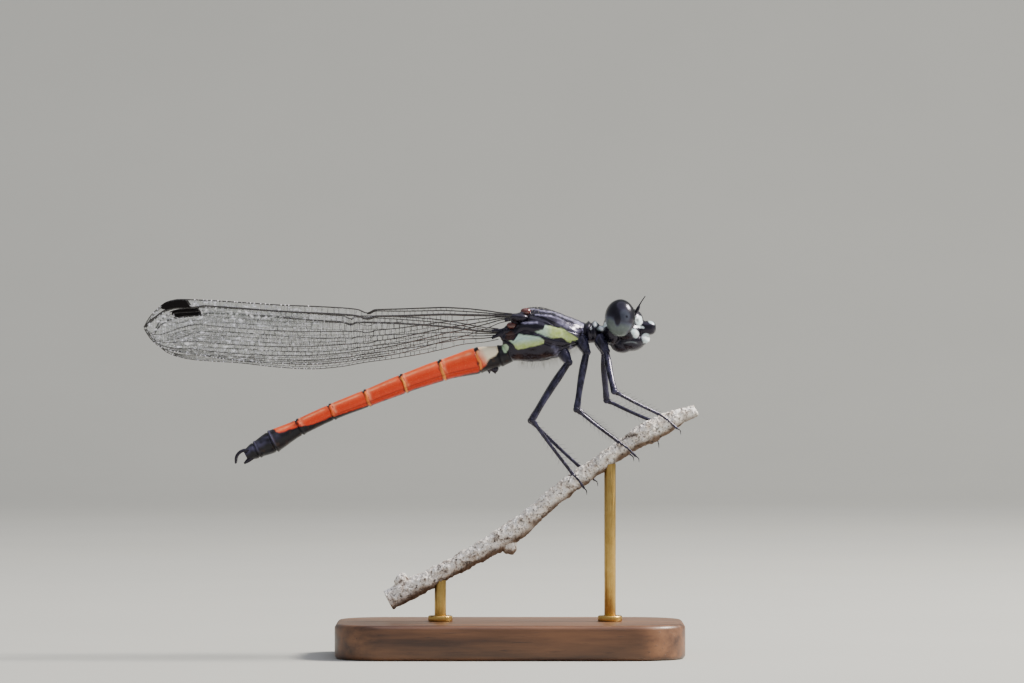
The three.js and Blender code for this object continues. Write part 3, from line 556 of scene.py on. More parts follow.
def ringed_tube(name, sides, cuts, place, markings=None):
    """A closed tube: a cylinder whose long edges are cut into parts, then shaped corner by corner.

    place(along, around, reach) gives a corner's place, with reach 0 at the middle of an end, and
    markings(along, around, place) gives it named numbers, which the materials read.
    """
    pick()
    bpy.ops.mesh.primitive_cylinder_add(vertices=sides, radius=1, depth=1, end_fill_type="TRIFAN")
    piece = added(name)
    for cut in cuts:
        select_edges(piece, lambda a, b: abs(a.z - b.z) > 1e-5)
        bpy.ops.mesh.subdivide(number_cuts=cut - 1)
        bpy.ops.object.mode_set(mode="OBJECT")
    painted = {}
    for vertex in piece.data.vertices:
        x, y, z = vertex.co
        along, around = z + 0.5, math.atan2(x, y)
        vertex.co = place(along, around, math.hypot(x, y))
        for key, value in (markings(along, around, vertex.co) if markings else {}).items():
            painted.setdefault(key, []).append(value)
    recalculate(piece)
    for key, values in painted.items():
        paint(piece, key, values)
    return piece


def ball(name, centre, half, fineness=PLAIN, squareness=1.0):
    """An oval form; below 1, squareness bulges it towards a box."""
    pick()
    bpy.ops.mesh.primitive_uv_sphere_add(segments=fineness[0], ring_count=fineness[1], radius=1)
    piece = added(name)
    for vertex in piece.data.vertices:
        bulged = [math.copysign(abs(c) ** squareness, c) for c in vertex.co]
        vertex.co = [c * h + m for c, h, m in zip(bulged, half, centre)]
    return piece


def balls(name, forms, fineness=SMALL, squareness=1.0, sides=(1,)):
    """A ball for each (centre, half size), on one side or both."""
    return [
        ball(name, centre, half, fineness, squareness)
        for side in sides
        for centre, half in zip(sided([centre for centre, _ in forms], side), [half for _, half in forms])
    ]


def joined(name, pieces):
    """Makes one piece of several."""
    pick(*pieces)
    bpy.ops.object.join()
    return added(name)


def moulded(name, pieces, voxel, rounds):
    """Joins closed forms into one skin, with soft valleys between them."""
    piece = joined(name, pieces)
    apply_modifier(piece, "REMESH", mode="VOXEL", voxel_size=voxel)
    apply_modifier(piece, "SMOOTH", factor=0.5, iterations=rounds)
    return piece


def grid(name, columns, rows):
    """A flat square of 1 by 1, to be shaped corner by corner."""
    pick()
    bpy.ops.mesh.primitive_grid_add(x_subdivisions=columns, y_subdivisions=rows, size=1)
    return added(name)


def threads(name, lines, roundness):
    """One mesh of round threads, each a list of (place, radius), drawn as bevelled curves."""
    curve = bpy.data.curves.new(name, "CURVE")
    curve.dimensions = "3D"
    curve.bevel_depth = 1.0
    curve.bevel_resolution = roundness
    curve.use_fill_caps = True
    for line in lines:
        strand = curve.splines.new("POLY")
        strand.points.add(len(line) - 1)
        for knot, (place, radius) in zip(strand.points, line):
            knot.co = (*place, 1.0)
            knot.radius = radius
    piece = bpy.data.objects.new(name, curve)
    bpy.context.scene.collection.objects.link(piece)
    pick(piece)
    bpy.ops.object.convert(target="MESH")
    return added(name)


def shoot(points, radii, steps):
    """A thread along a smooth path, with its radius given at shares of the length."""
    path, radius = Path(points), through(radii)
    return [(path.at_share(k / steps)[0], radius(k / steps)) for k in range(steps + 1)]


def hair(start, direction, length, radius, curl):
    """A short bristle that bends towards curl and thins to its tip."""
    line = []
    for t in (0, 0.25, 0.5, 0.75, 1):
        place = start + direction * length * t + curl * length * t * t
        line.append((place, mix(radius, radius * 0.2, t)))
    return line


def paint(piece, name, values):
    """Stores one number a corner."""
    layer = piece.data.attributes.new(name, "FLOAT", "POINT")
    layer.data.foreach_set("value", values)


def finish(piece, material, nodes, flat_over=None):
    """Brings a piece to metres, smooths it, gives it its finish and hangs it on the frame.

    Edges that turn by more than flat_over degrees stay sharp.
    """
    pick(piece)
    piece.data.transform(Matrix.Scale(MM, 4))
    if flat_over is None:
        bpy.ops.object.shade_smooth()
    else:
        bpy.ops.object.shade_smooth_by_angle(angle=math.radians(flat_over))
    piece.data.materials.clear()
    piece.data.materials.append(material)
    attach(piece, BODY)
    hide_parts(*nodes)


# Materials

def add(tree, kind, inputs=None, stops=(), **settings):
    """Adds a node; inputs gives each socket a value or another node's output, and stops a ramp's colours."""
    node = tree.nodes.new(kind)
    for key, value in settings.items():
        setattr(node, key, value)
    for key, value in (inputs or {}).items():
        if isinstance(value, bpy.types.NodeSocket):
            tree.links.new(value, node.inputs[key])
        else:
            node.inputs[key].default_value = value
    for _ in stops[2:]:
        node.color_ramp.elements.new(0.5)
    for index, (place, colour) in enumerate(stops):
        node.color_ramp.elements[index].position = place
        node.color_ramp.elements[index].color = linear(colour)
    return node


def share(tree, source, spread=None, detail=3.0, rough=0.55, stretch=(1, 1, 1)):
    """A number painted on the mesh, by its name, or noise whose lumps are about source millimetres across.

    spread brings a low and a high value of it to 0 and 1, or to the two values after them.
    """
    if isinstance(source, str):
        value = add(tree, "ShaderNodeAttribute", attribute_name=source).outputs["Fac"]
    else:
        place = add(tree, "ShaderNodeTexCoord").outputs["Object"]
        place = add(tree, "ShaderNodeMapping", {"Vector": place, "Scale": stretch}).outputs[0]
        inputs = {"Vector": place, "Scale": 1 / (source * MM), "Detail": detail, "Roughness": rough}
        value = add(tree, "ShaderNodeTexNoise", inputs).outputs["Fac"]
    if spread:
        limits = zip(("From Min", "From Max", "To Min", "To Max"), spread)
        value = add(tree, "ShaderNodeMapRange", {"Value": value, **dict(limits)}).outputs["Result"]
    return value


def layers(tree, base, *coats):
    """Lays colours over a base; a coat is its cover, a share or a painted number's name, and its colour."""
    for cover, colour in coats:
        if isinstance(cover, str):
            cover = share(tree, cover)
        below, above = (linear(tone) if isinstance(tone, str) else tone for tone in (base, colour))
        base = add(tree, "ShaderNodeMix", {0: cover, 6: below, 7: above}, data_type="RGBA").outputs[2]
    return base


def dress(tree, colour, roughness=None, height=None, depth=0.0, cover=None):
    """Links a surface's colour, roughness and cover, and a relief of depth millimetres."""
    if height:
        height = add(tree, "ShaderNodeBump", {"Height": height, "Distance": depth * MM}).outputs[0]
    links = {"Base Color": colour, "Roughness": roughness, "Normal": height, "Alpha": cover}
    for key, value in links.items():
        if value:
            tree.links.new(value, tree.nodes["Principled BSDF"].inputs[key])


def user_colour(name):
    """A colour of the sidebar panel."""
    return tuple(getattr(bpy.context.scene.damselfly_colours, name)) + (1.0,)


made = {}


def finish_of(name, sockets):
    """Turns a rule that dresses a node tree into a material, built once for all the pieces that wear it."""
    def wrap(rule):
        def get():
            if name not in made:
                made[name] = bpy.data.materials.new(name)
                made[name].use_nodes = True
                tree = made[name].node_tree
                for key, value in sockets.items():
                    tree.nodes["Principled BSDF"].inputs[key].default_value = value
                rule(tree)
            return made[name]
        return get
    return wrap


MIDDLE = (0.3, 0.7)  # most of a noise's values lie between these
WAXED = {"IOR": 1.5, "Coat Weight": 0.12, "Coat Roughness": 0.14, "Specular Tint": linear("#D8D0EC")}
CHITIN = {"IOR": 1.56, "Coat Weight": 0.5, "Coat Roughness": 0.1}


@finish_of("black waxed cuticle", WAXED)
def black_cuticle(tree):
    # Hard, waxed insect cuticle: near black with a soft violet gloss over a fine grain.
    colour = layers(tree, user_colour("black"), (share(tree, 0.25), "#15131C"))
    dress(tree, colour, share(tree, 0.25, (*MIDDLE, 0.2, 0.36)), share(tree, 0.1), 0.006)


@finish_of("blue-black leg cuticle", WAXED)
def leg_cuticle(tree):
    # Leg cuticle, a little bluer and greyer than the body's, under the same wax.
    colour = layers(tree, "#0B0B12", (share(tree, 0.3, (0.4, 0.7), stretch=(1, 1, 0.4)), "#35344A"))
    dress(tree, colour, share(tree, 0.2, (*MIDDLE, 0.2, 0.34)), share(tree, 0.08), 0.006)


@finish_of("patched thorax cuticle", WAXED)
def thorax_cuticle(tree):
    # The same black cuticle with smooth pigment patches that turn from mint to yellow-green, and painted
    # lilac-grey highlights and reflections along its ridges and plates.
    pale = layers(tree, user_colour("mint"), ("warm", user_colour("lime")),
                  (share(tree, 0.18, (0.35, 0.75, 0, 0.25)), "#F2F6E6"))
    colour = layers(tree, user_colour("black"), (share(tree, 0.3), "#121019"), ("sheen", "#8C89A6"),
                    ("brown", "#40291C"), ("patch", pale))
    dress(tree, colour, share(tree, 0.4, (*MIDDLE, 0.16, 0.3)), share(tree, 0.12), 0.005)


@finish_of("orange abdomen cuticle", {"IOR": 1.36, "Coat Weight": 0.08, "Coat Roughness": 0.25})
def abdomen_cuticle(tree):
    # Thin satin cuticle over pigment: cream at the waist, orange-red rings, then a black tail. Light and
    # shade are painted into it: lighter orange along the top, deeper red underneath, pale highlight lines,
    # and a lilac-grey sheen on the tail and its joint rims.
    # The rim coat is painted sheen: lilac-grey highlights on the tail's joint rims and upper sides
    ink = layers(tree, "#040306", (share(tree, 0.3), "#14121D"),
                 (share(tree, 0.5, (0.56, 0.66, 0, 0.5), 4), "#3A2216"), ("rim", "#65617F"))
    colour = layers(
        tree, "#F2602B",
        # Painted light and shade: lighter orange along the top, deeper red underneath
        (share(tree, "low", (0.1, 0.42)), user_colour("orange")),
        (share(tree, "low", (0.6, 0.95)), "#C02A0D"),
        (share(tree, 0.6, (0.35, 0.75, 0, 0.4)), "#D2350F"),
        (share(tree, 0.09, (0.5, 0.8, 0, 0.35)), "#F8844A"),
        # Painted highlights: pale peach lines from the gleam numbers
        ("gleam", "#FFB98A"),
        ("ring", "#F8A04A"),
        ("cream", user_colour("cream")),
        ("mint", layers(tree, user_colour("mint"), (0.45, user_colour("lime")))),
        ("ink", ink),
    )
    dress(tree, colour, share(tree, 0.2, (*MIDDLE, 0.3, 0.48)), share(tree, 0.06), 0.01)


@finish_of("marked head cuticle", WAXED)
def head_cuticle(tree):
    # Black cuticle with smooth enamel-white face marks, and painted white highlights on the snout, chin, nape
    # and neck ring.
    white = layers(tree, "#BFD8DC", (share(tree, 0.3, (0.35, 0.65)), "#F4F8FA"))
    colour = layers(tree, user_colour("black"), (share(tree, 0.2), "#15131C"), ("white", white))
    dress(tree, colour, share(tree, 0.25, (*MIDDLE, 0.2, 0.36)), share(tree, 0.1), 0.006)


@finish_of("compound eye", {
    "Roughness": 0.17, "IOR": 1.4, "Coat Weight": 0.22, "Coat Roughness": 0.32,
    "Specular Tint": linear("#CFC6EE"),
})
def eye_lens(tree):
    # Compound eye: a wet-looking lens skin over dark pigment that pales to grey-green below. The
    # facets are drawn 0.05 mm wide, about twice their real size, so that they show.
    shade = add(tree, "ShaderNodeValToRGB", {"Fac": share(tree, "pale")}, stops=(
        (0.0, "#040305"), (0.35, "#1D1C25"), (0.7, "#4A505C"), (1.0, "#65706C")))
    colour = layers(tree, shade.outputs["Color"], (share(tree, 0.3, (0.35, 0.7, 0, 0.3)), "#101114"))
    place = add(tree, "ShaderNodeTexCoord").outputs["Object"]
    facets = add(tree, "ShaderNodeTexVoronoi", {"Vector": place, "Scale": 1 / (0.05 * MM)})
    dress(tree, colour, None, facets.outputs["Distance"], 0.002)


@finish_of("red-brown hinge cuticle", {"Roughness": 0.2, **CHITIN, "Coat Weight": 0.6})
def hinge_cuticle(tree):
    # Wing hinge plates of red-brown, half-clear cuticle with a high gloss.
    dress(tree, layers(tree, "#150706", (share(tree, 0.2), "#6E2C22")), None, share(tree, 0.15), 0.02)


@finish_of("clear wing film", {"Roughness": 0.2, "IOR": 1.56, "Coat Weight": 0.3, "Coat Roughness": 0.12})
def wing_film(tree):
    # Chitin film, clear and slightly smoky and crumpled between the veins, with painted glints: noise spots
    # that turn it near white and less clear, strongest towards the tip.
    sparks = share(tree, 0.2, (0.54, 0.66), 2, 0.5, (0.6, 1, 1))
    inputs = {0: sparks, 1: share(tree, "sparkle"), 2: share(tree, "haze")}
    cover = add(tree, "ShaderNodeMath", inputs, operation="MULTIPLY_ADD").outputs[0]
    dress(tree, layers(tree, "#A4A9A4", (sparks, "#FBFAFF")), None, share(tree, 0.3), 0.05, cover)


@finish_of("black wing vein", {"Roughness": 0.25, **CHITIN})
def wing_vein(tree):
    # Hollow chitin ribs, black-brown, whose polished backs throw thin white lines.
    dress(tree, layers(tree, "#100E10", (share(tree, 0.4), "#332C28")))


@finish_of("silvery cross vein", {"Roughness": 0.22, **CHITIN})
def cross_vein(tree):
    # The finest veins, hollow and half clear, dark grey with silvery-white painted glints spread by noise
    # where they catch the light.
    dress(tree, layers(tree, "#6A6562", (share(tree, 0.3, (0.36, 0.52)), "#F4F2FA")))


@finish_of("black wing spot", {"Roughness": 0.55, "IOR": 1.25})
def wing_spot(tree):
    # The thickened black spot near each wing's tip, matt and a little leathery.
    dress(tree, layers(tree, "#040304", (share(tree, 0.25), "#120B0A")), None, share(tree, 0.12), 0.02)


@finish_of("pale body hair", {"Roughness": 0.4, "IOR": 1.55})
def pale_hair(tree):
    # Fine body hair, nearly clear, which shows white against the dark body.
    dress(tree, layers(tree, "#8E8B84", (share(tree, 0.5), "#CFCCC4")))


@finish_of("lichened bark", {"Roughness": 0.86, "IOR": 1.45})
def twig_bark(tree):
    # Dry, cracked bark under a pale lichen crust, darker and browner towards its underside, with the pale
    # wood of the cut ends.
    crust = add(tree, "ShaderNodeValToRGB", {"Fac": share(tree, 0.55, None, 6, 0.65)}, stops=(
        (0.3, "#3C302A"), (0.37, "#A3968B"), (0.43, "#E4D9CC"), (0.53, "#F9F3EA"), (0.7, "#FFFEFC")))
    colour = layers(
        tree, crust.outputs["Color"],
        ("under", layers(tree, "#3A2B22", (share(tree, 0.4, None, 5, 0.6, (1, 1, 2.5)), "#8A715C"))),
        (share(tree, 0.12, (0.58, 0.66, 0, 0.85), 2), "#3A312C"),
        (share(tree, 0.3, (0.63, 0.68, 0, 0.9)), "#2A211C"),
        ("crack", "#2A211C"),
        ("cut", layers(tree, "#B79F7C", (share(tree, 0.1, None, 4), "#E0CFAE"))),
    )
    dress(tree, colour, None, share(tree, 0.18, None, 6, 0.7), 0.09)


@finish_of("oiled walnut", {"IOR": 1.48, "Coat Weight": 0.25, "Coat Roughness": 0.3})
def oiled_walnut(tree):
    # Walnut under a satin oil film, with long dark streaks and fine open pores.
    streak = {"detail": 6, "rough": 0.6, "stretch": (0.09, 1, 1)}
    pores = share(tree, 0.14, (0.62, 0.75, 0, 0.7), 3, 0.6, (0.06, 1, 1))
    colour = layers(tree, "#3C2416", (share(tree, 1.1, (0.35, 0.68), **streak), user_colour("walnut")),
                    (pores, "#1F120B"))
    dress(tree, colour, share(tree, 1.1, (*MIDDLE, 0.36, 0.52), **streak), pores, 0.015)


@finish_of("brushed brass", {"Metallic": 1.0})
def brushed_brass(tree):
    # Drawn brass rod, finely brushed along its length.
    brush = {"detail": 2, "rough": 0.5, "stretch": (1, 1, 0.05)}
    colour = layers(tree, "#B08A45", (share(tree, 0.5, None, 4), "#D6B46C"))
    dress(tree, colour, share(tree, 0.08, (*MIDDLE, 0.22, 0.42), **brush), share(tree, 0.08, **brush), 0.003)


@finish_of("pale studio paper", {"Roughness": 0.95, "IOR": 1.3})
def studio_paper(tree):
    # Seamless pale studio paper.
    dress(tree, layers(tree, "#A3A49F", (share(tree, 30), "#A9AAA5")))


# Head

def face_white(x, y, z, place):
    """How white the head is at a corner, which may have sunk a little from (x, y, z)."""
    point = (x + FACE_WOBBLE * ragged(place, 0.3), z + FACE_WOBBLE * ragged(place, 0.3, 9.0))

    def slanted(form, slope):
        return oval((point[0], point[1] + slope * (x - form[0][0])), *form)

    eyeside = oval(point, *FACE_PATCH) - 0.75 * oval(point, *FACE_HOLE)
    stripe = slanted(CHEEK_STRIPE, 0.2)
    jaw = max(oval(point, *form) for form in JAW_MARKS)
    lip = oval(point, *LIP_MARK) * rise(21.5, 21.62, z) * rise(9.02, 9.16, x + 0.35 * (z - 21.85))
    # The muzzle, chin and nape terms are painted highlights, the others are pale marks
    muzzle = 0.8 * slanted(MUZZLE_HIGHLIGHT, 0.6)
    chin = 0.22 * hump(z - 21.66 + 0.5 * (x - 8.3) ** 2, 0.05) * oval(point, *CHIN_GLEAM)
    nape = oval(point, *NAPE_HIGHLIGHT) * rise(0.3, 0.5, abs(y))
    beside_middle = rise(0.4, 0.6, abs(y))
    return min(1.0, max(max(eyeside, stripe, jaw) * beside_middle, lip, muzzle, chin, nape))


def build_head():
    forms = [ball(name, *form) for name, form in HEAD_FORMS.items()]
    forms += [ball("snout", *SNOUT, squareness=0.68), ball("labrum", *LABRUM)]
    head = moulded("head", forms, SKIN_VOXEL, rounds=5)
    white = []
    for vertex in head.data.vertices:
        x, y, z = vertex.co
        groove = hump(z - MOUTH[1] - MOUTH_SLOPE * (x - MOUTH[0]), MOUTH_WIDTH) * rise(7.9, 8.3, x)
        vertex.co.x -= MOUTH_DEPTH * groove
        white.append(face_white(x, y, z, vertex.co))
    paint(head, "white", white)
    finish(head, head_cuticle(), ["head"])
    beads = joined("ocelli", balls("ocellus", [(centre, OCELLUS_HALF) for centre in OCELLI], TINY))
    finish(beads, eye_lens(), ["head"])


def build_eyes():
    for side_name, side in SIDES.items():
        centre, = sided([EYE_CENTRE], side)
        eye = ball(f"eye_{side_name}", centre, EYE_HALF, FINE)
        pale = []
        for vertex in eye.data.vertices:
            x, z = vertex.co.x - centre[0], vertex.co.z - centre[2]
            below = rise(-0.25, 0.6, -z - 0.35 * x + 0.1 * ragged(vertex.co, 0.4))
            light = max(below, 0.55 * oval((x, z), *EYE_FRONT))
            blot = min(1, sum(oval((x, z), *form) for form in EYE_BLOTS))
            rim = rise(0.78, 0.95, math.hypot(x / EYE_HALF[0], z / EYE_HALF[2])) * rise(0.3, 0.6, x)
            pale.append(max(0.0, light * (1 - 0.88 * blot) * (1 - 0.8 * rim)))
        paint(eye, "pale", pale)
        finish(eye, eye_lens(), [f"eye_{side_name}"])


def build_shoots(stem, points, radii, roundness):
    """A smooth black shoot on each side of the body."""
    for side_name, side in SIDES.items():
        node = f"{stem}_{side_name}"
        piece = threads(node, [shoot(sided(points, side), radii, steps=30)], roundness)
        finish(piece, black_cuticle(), [node])


# Thorax

def body_rings(rows):
    """Rules for a body whose rows are (x, top, bottom, half width)."""
    tops, bottoms, halves = (through([(row[0], row[k]) for row in rows]) for k in (1, 2, 3))

    def place(x, around, reach=1.0, swell=0.0):
        top, bottom, half = tops(x), bottoms(x), halves(x)
        side = math.copysign(abs(math.sin(around)) ** FLANK_FULLNESS, math.sin(around))
        y = side * half * reach
        z = (top + bottom) / 2 + math.cos(around) * (top - bottom) / 2 * reach
        return Vector((x, y, z)) + Vector((0, side, math.cos(around))) * swell

    return place


def build_prothorax():
    rings = body_rings(PROTHORAX)

    def place(along, around, reach):
        return rings(mix(PROTHORAX[0][0], PROTHORAX[-1][0], along), around, reach)

    def marks(along, around, corner):
        # Painted white highlights on the neck ring
        point = (corner.x + 0.05 * ragged(corner, 0.2), corner.z + 0.05 * ragged(corner, 0.2, 4.0))
        return {"white": strongest(COLLAR_HIGHLIGHTS, point) * rise(0.12, 0.3, abs(corner.y))}

    collar = ringed_tube("prothorax", 64, (12, 5), place, marks)
    finish(collar, head_cuticle(), ["prothorax"])


def thorax_swell(x, around, place, seams):
    """Relief of the thorax skin: grooved seams, a keel, and plates that swell between the seams."""
    groove = sum(hump((lowness(around) - seam(x)) * FLANK_LENGTH, SEAM_WIDTH) for seam in seams)
    keel = KEEL * hump(math.sin(around), 0.06) * (math.cos(around) > 0)
    plate = 0.0
    for (middle, height), half, slope, swell in PLATES:
        along, across = place.x - middle, place.z - height - slope * (place.x - middle)
        plate = max(plate, swell * oval((along, across), (0, 0), half, 0.45))
    folds = 0.025 * ragged(place, 0.7) + 0.012 * ragged(place, 0.22)
    return keel + plate + folds - SEAM_DEPTH * groove


def thorax_warmth(place):
    """How far the pale patches turn from mint to yellow-green."""
    if place.x < 0.1:
        return 0.45
    if place.x > 2.45 or place.z > 22.05:
        return 0.2 + 0.8 * rise(2.3, 3.0, place.x)
    return rise(-0.25, 0.35, 21.75 - place.z + 0.15 * (place.x - 1.2))


def thorax_marks(along, around, place):
    point = (place.x, place.z)
    wobble = 0.04 * ragged(place, 0.25, 3.0)
    patch = max(rise(-0.03, 0.04, inside_by(outline, point) + wobble) for outline in PATCHES.values())
    near = (place.x + 2 * wobble, place.z + wobble)
    # Painted sheen: highlight lines and reflections along the ridges, plates and coxae
    painted_sheen = max(strength * hump(beside(near, start, end), width) for start, end, width, strength in PAINTED_SHEEN)
    painted_sheen *= 0.6 + 0.8 * rise(-0.3, 0.4, ragged(place, 0.16, 7.0))
    painted_sheen *= mix(0.3, 1.0, rise(0.15, 0.6, abs(place.y)))
    return {
        "patch": patch * rise(0.35, 0.6, abs(place.y)),
        "warm": thorax_warmth(place),
        "brown": strongest(BROWN_MARKS, point),
        "sheen": min(1.0, painted_sheen),
    }


def build_thorax():
    rings = body_rings(THORAX)
    seams = [through(seam) for seam in SEAMS]

    def place(along, around, reach):
        x = mix(THORAX[0][0], THORAX[-1][0], along)
        swell = thorax_swell(x, around, rings(x, around, reach), seams)
        return rings(x, around, reach, swell * reach)

    thorax = ringed_tube("thorax", 160, (12, 11), place, thorax_marks)
    finish(thorax, thorax_cuticle(), ["thorax"])
    blocks = balls("hinge_block", HINGE_BLOCKS, sides=SIDES.values())
    blocks = moulded("hinge_blocks", blocks, SKIN_VOXEL, rounds=3)
    finish(blocks, black_cuticle(), ["thorax"])
    plates = joined("hinge_plates", balls("hinge_plate", HINGE_PLATES, SMALL, 0.85, SIDES.values()))
    finish(plates, hinge_cuticle(), ["thorax"])


def build_body_hair():
    """Sparse pale hair on the back, and a denser fringe under the thorax."""
    rings = body_rings(THORAX)
    draw = random.Random(7)
    lines = []
    for index in range(bpy.context.scene.damselfly_sizes.hair_count):
        turns, lengths = HAIR_PLACES[index % 2]
        x = draw.uniform(*HAIR_REACH)
        around = draw.uniform(*turns)
        around *= draw.choice((-1, 1))
        out = Vector((0, math.sin(around), math.cos(around)))
        lean = Vector((draw.uniform(-0.4, 0.4), draw.uniform(-0.3, 0.3), draw.uniform(-0.3, 0.1)))
        root = rings(x, around) - out * 0.05
        lines.append(hair(root, (out + lean).normalized(), draw.uniform(*lengths), HAIR_RADIUS, lean * 0.3))
    finish(threads("body_hair", lines, roundness=0), pale_hair(), ["thorax"])


# Abdomen

def crowded(along):
    """The knot at a share of the abdomen's length, with the mesh's rings packed closer at the joints."""
    u = along * ABDOMEN_RINGS
    k = min(int(u), ABDOMEN_RINGS - 1)
    t = u - k
    return k + t - 0.8 * math.sin(2 * math.pi * t) / (2 * math.pi)


def past_joint(path, u):
    """How far knot u lies behind the nearest joint, negative before it, and that joint's number."""
    nearest = min(max(round(u), 1), ABDOMEN_RINGS - 1)
    gap = (path.at_knot(u)[0] - side_view(ABDOMEN_JOINTS[nearest])).length
    return gap * (1 if u > nearest else -1), nearest


def abdomen_half(u, past, around):
    """Half height at knot u, with a raised rim before each joint, a groove after it and a side fold."""
    k = min(int(u), ABDOMEN_RINGS - 1)
    height = mix(*ABDOMEN_HEIGHTS[k], rise(0, 1, u - k))
    rim, groove = (swell * hump(past - place, width) for swell, place, width in (JOINT_RIM, JOINT_GROOVE))
    swell, place, width = SIDE_FOLD
    fold = swell * hump(lowness(around) - place, width) * rise(1.8, 2.3, u) * (1 - rise(7.4, 7.8, u))
    return height / 2 + (rim + groove) + fold


ink_edge = through(INK_EDGE)


def abdomen_ink(u, below, wobble, past, bent, nearest, place):
    """How black the abdomen is: the belly, the side fold, and joint lines on the orange rings."""
    edge = ink_edge(u)
    ink = max(rise(edge - 0.04, edge + 0.04, below + wobble),
              0.7 * hump(below - SIDE_FOLD[1], 0.018) * rise(1.9, 2.2, u) * (1 - rise(7, 7.4, u)))
    if nearest in ORANGE_JOINTS:
        spot = (1 - rise(0.1, 0.15, below + wobble)) * rise(-0.24, -0.18, past) * (1 - rise(0.08, 0.12, past))
        broken = rise(-0.25, 0.25, ragged(place, 0.35, 6.0))
        front, rear = 0.7 * broken * hump(bent + 0.2, 0.03), (0.45 + 0.5 * broken) * hump(bent - 0.05, 0.04)
        ink = max(ink, spot, front, rear)
    if nearest == LAST_ORANGE_JOINT:
        ink = max(ink, rise(-0.45, -0.1, past) * (1 - rise(0.1, 0.5, past)) * rise(-0.3, 0.3, wobble * 16))
    return min(1, max(0, ink))


def abdomen_marks(path, along, around, place):
    u, below = crowded(along), lowness(around)
    past, nearest = past_joint(path, u)
    orange = nearest in ORANGE_JOINTS
    wobble = 0.05 * ragged(place, 0.3, 5.0) + 0.05 * ragged(place, 0.9, 8.0)
    bent = past + 0.1 * ragged(place, 0.5, 2.0) + 0.05 * ragged(place, 0.2, 3.0)

    ring = rise(-0.2, -0.12, bent) * (1 - rise(-0.02, 0.06, bent)) * rise(0.1, 0.14, below)
    # Painted highlights: pale lines on the upper side of the tail's joint rims
    rim = 0.6 * hump(past + 0.12, 0.05) * (1 - rise(0.4, 0.8, below)) * (nearest > LAST_ORANGE_JOINT)
    # Painted sheen: lilac-grey on the tail's upper sides
    painted_sheen = rise(7.3, 8.2, u) * hump(below - 0.28, 0.2) * rise(-0.4, 0.5, ragged(place, 0.35, 9.0))
    # Painted highlights: a pale line along the upper side, and at the ends of the orange rings
    gleam = 0.42 * hump(below - 0.17, 0.05) * rise(0.1, 0.5, abs(past)) * rise(2.0, 2.2, u)
    gleam = max(gleam, 0.4 * hump(bent + 0.3, 0.09) * (1 - rise(0.5, 0.9, below)) * orange)
    if u < WAIST_END:
        ink = 1 - rise(-0.04, 0.04, inside_by(PATCHES["waist"], (place.x, place.z)) + 0.5 * wobble)
    else:
        ink = abdomen_ink(u, below, wobble, past, bent, nearest, place)
    return {
        "ink": ink,
        "ring": ring * ORANGE_JOINTS.get(nearest, 0),
        "cream": (1 - rise(1.7, 2.15, u + 0.4 * below)) * (u > WAIST_END),
        "mint": float(u < WAIST_END),
        "low": below,
        "rim": max(rim, 0.6 * painted_sheen),
        "gleam": gleam * (0.6 + 0.8 * rise(-0.4, 0.4, ragged(place, 0.3, 1.0))),
    }


def build_abdomen():
    path = Path([side_view(joint) for joint in ABDOMEN_JOINTS])

    def place(along, around, reach):
        u = crowded(along)
        half = abdomen_half(u, past_joint(path, u)[0], around) * reach
        return off_axis(*path.at_knot(u), around, half, ABDOMEN_WIDTH)

    skin = ringed_tube("abdomen", 64, (32, 10), place, lambda *corner: abdomen_marks(path, *corner))
    nodes = [f"abdomen_{k}" for k in range(1, ABDOMEN_RINGS + 1)]
    finish(skin, abdomen_cuticle(), nodes)
    lobes = moulded("genital_lobe", balls("lobe", GENITAL_LOBES), LOBE_VOXEL, rounds=3)
    finish(lobes, black_cuticle(), ["abdomen_2"])


def build_tail_claspers():
    build_shoots("cercus", CERCUS_PATH, CERCUS_RADII, 5)
    lines = [shoot(sided(TAIL_SPIKE, side), TAIL_SPIKE_RADII, steps=12) for side in SIDES.values()]
    finish(threads("tail_spikes", lines, roundness=4), black_cuticle(), ["abdomen_10"])


# Wings

def long_veins(spec):
    """Every long vein as (first station, last station, chord share rule, radii, lift)."""
    def chief(pair):
        """Runs along the wing, then bends back to its rear edge before the tip."""
        return lambda s: mix(mix(*pair, s ** 0.8), 1, 0.6 * rise(0.84, 1.02, s))

    def shared_out(gap, part):
        return lambda s: mix(edges[gap](s), edges[gap + 1](s), part)

    edges = [lambda s: 0.0, through(FRONT_VEIN), *(chief(pair) for pair in CHIEF_VEINS), lambda s: 1.0]
    notch = spec["notch"]
    veins = [
        (0, 1, edges[0], *VEIN_KINDS["leading edge"]),
        (0, notch, lambda s: mix(0.15, 0.02, s / notch), *VEIN_KINDS["under the edge"]),
        (0, 1, edges[1], *VEIN_KINDS["front"]),
        *((0, 1, edge, *VEIN_KINDS["chief"]) for edge in edges[2:-1]),
        (0, 1, edges[-1], *VEIN_KINDS["rear edge"]),
    ]
    for gap, lesser in LESSER_VEINS.items():
        veins += [
            (start, LESSER_END, shared_out(gap, part), *VEIN_KINDS["lesser"]) for start, part in lesser
        ]
    return veins


def wing_place(spec, side):
    """A rule from (length share, chord share, lift off the wing) to a place."""
    root, tip = side_view(spec["root"]), side_view(spec["tip"])
    up = up_from((tip - root).normalized())
    costa, hind = through(spec["costa"]), through(spec["hind"])

    def place(s, v, lift=0.0):
        point = root.lerp(tip, s) + up * mix(costa(s), hind(s), v)
        flat = min(1.0, s / FLAT_END, (1 - s) / FLAT_END)
        point.y = side * (mix(*spec["stand"], s) + lift * flat)
        return point

    return place


def crests(veins, s):
    """Chord shares and lifts of the long veins at a station, from the leading edge back."""
    return sorted((rule(s), lift) for first, last, rule, _, lift in veins if first <= s <= last)


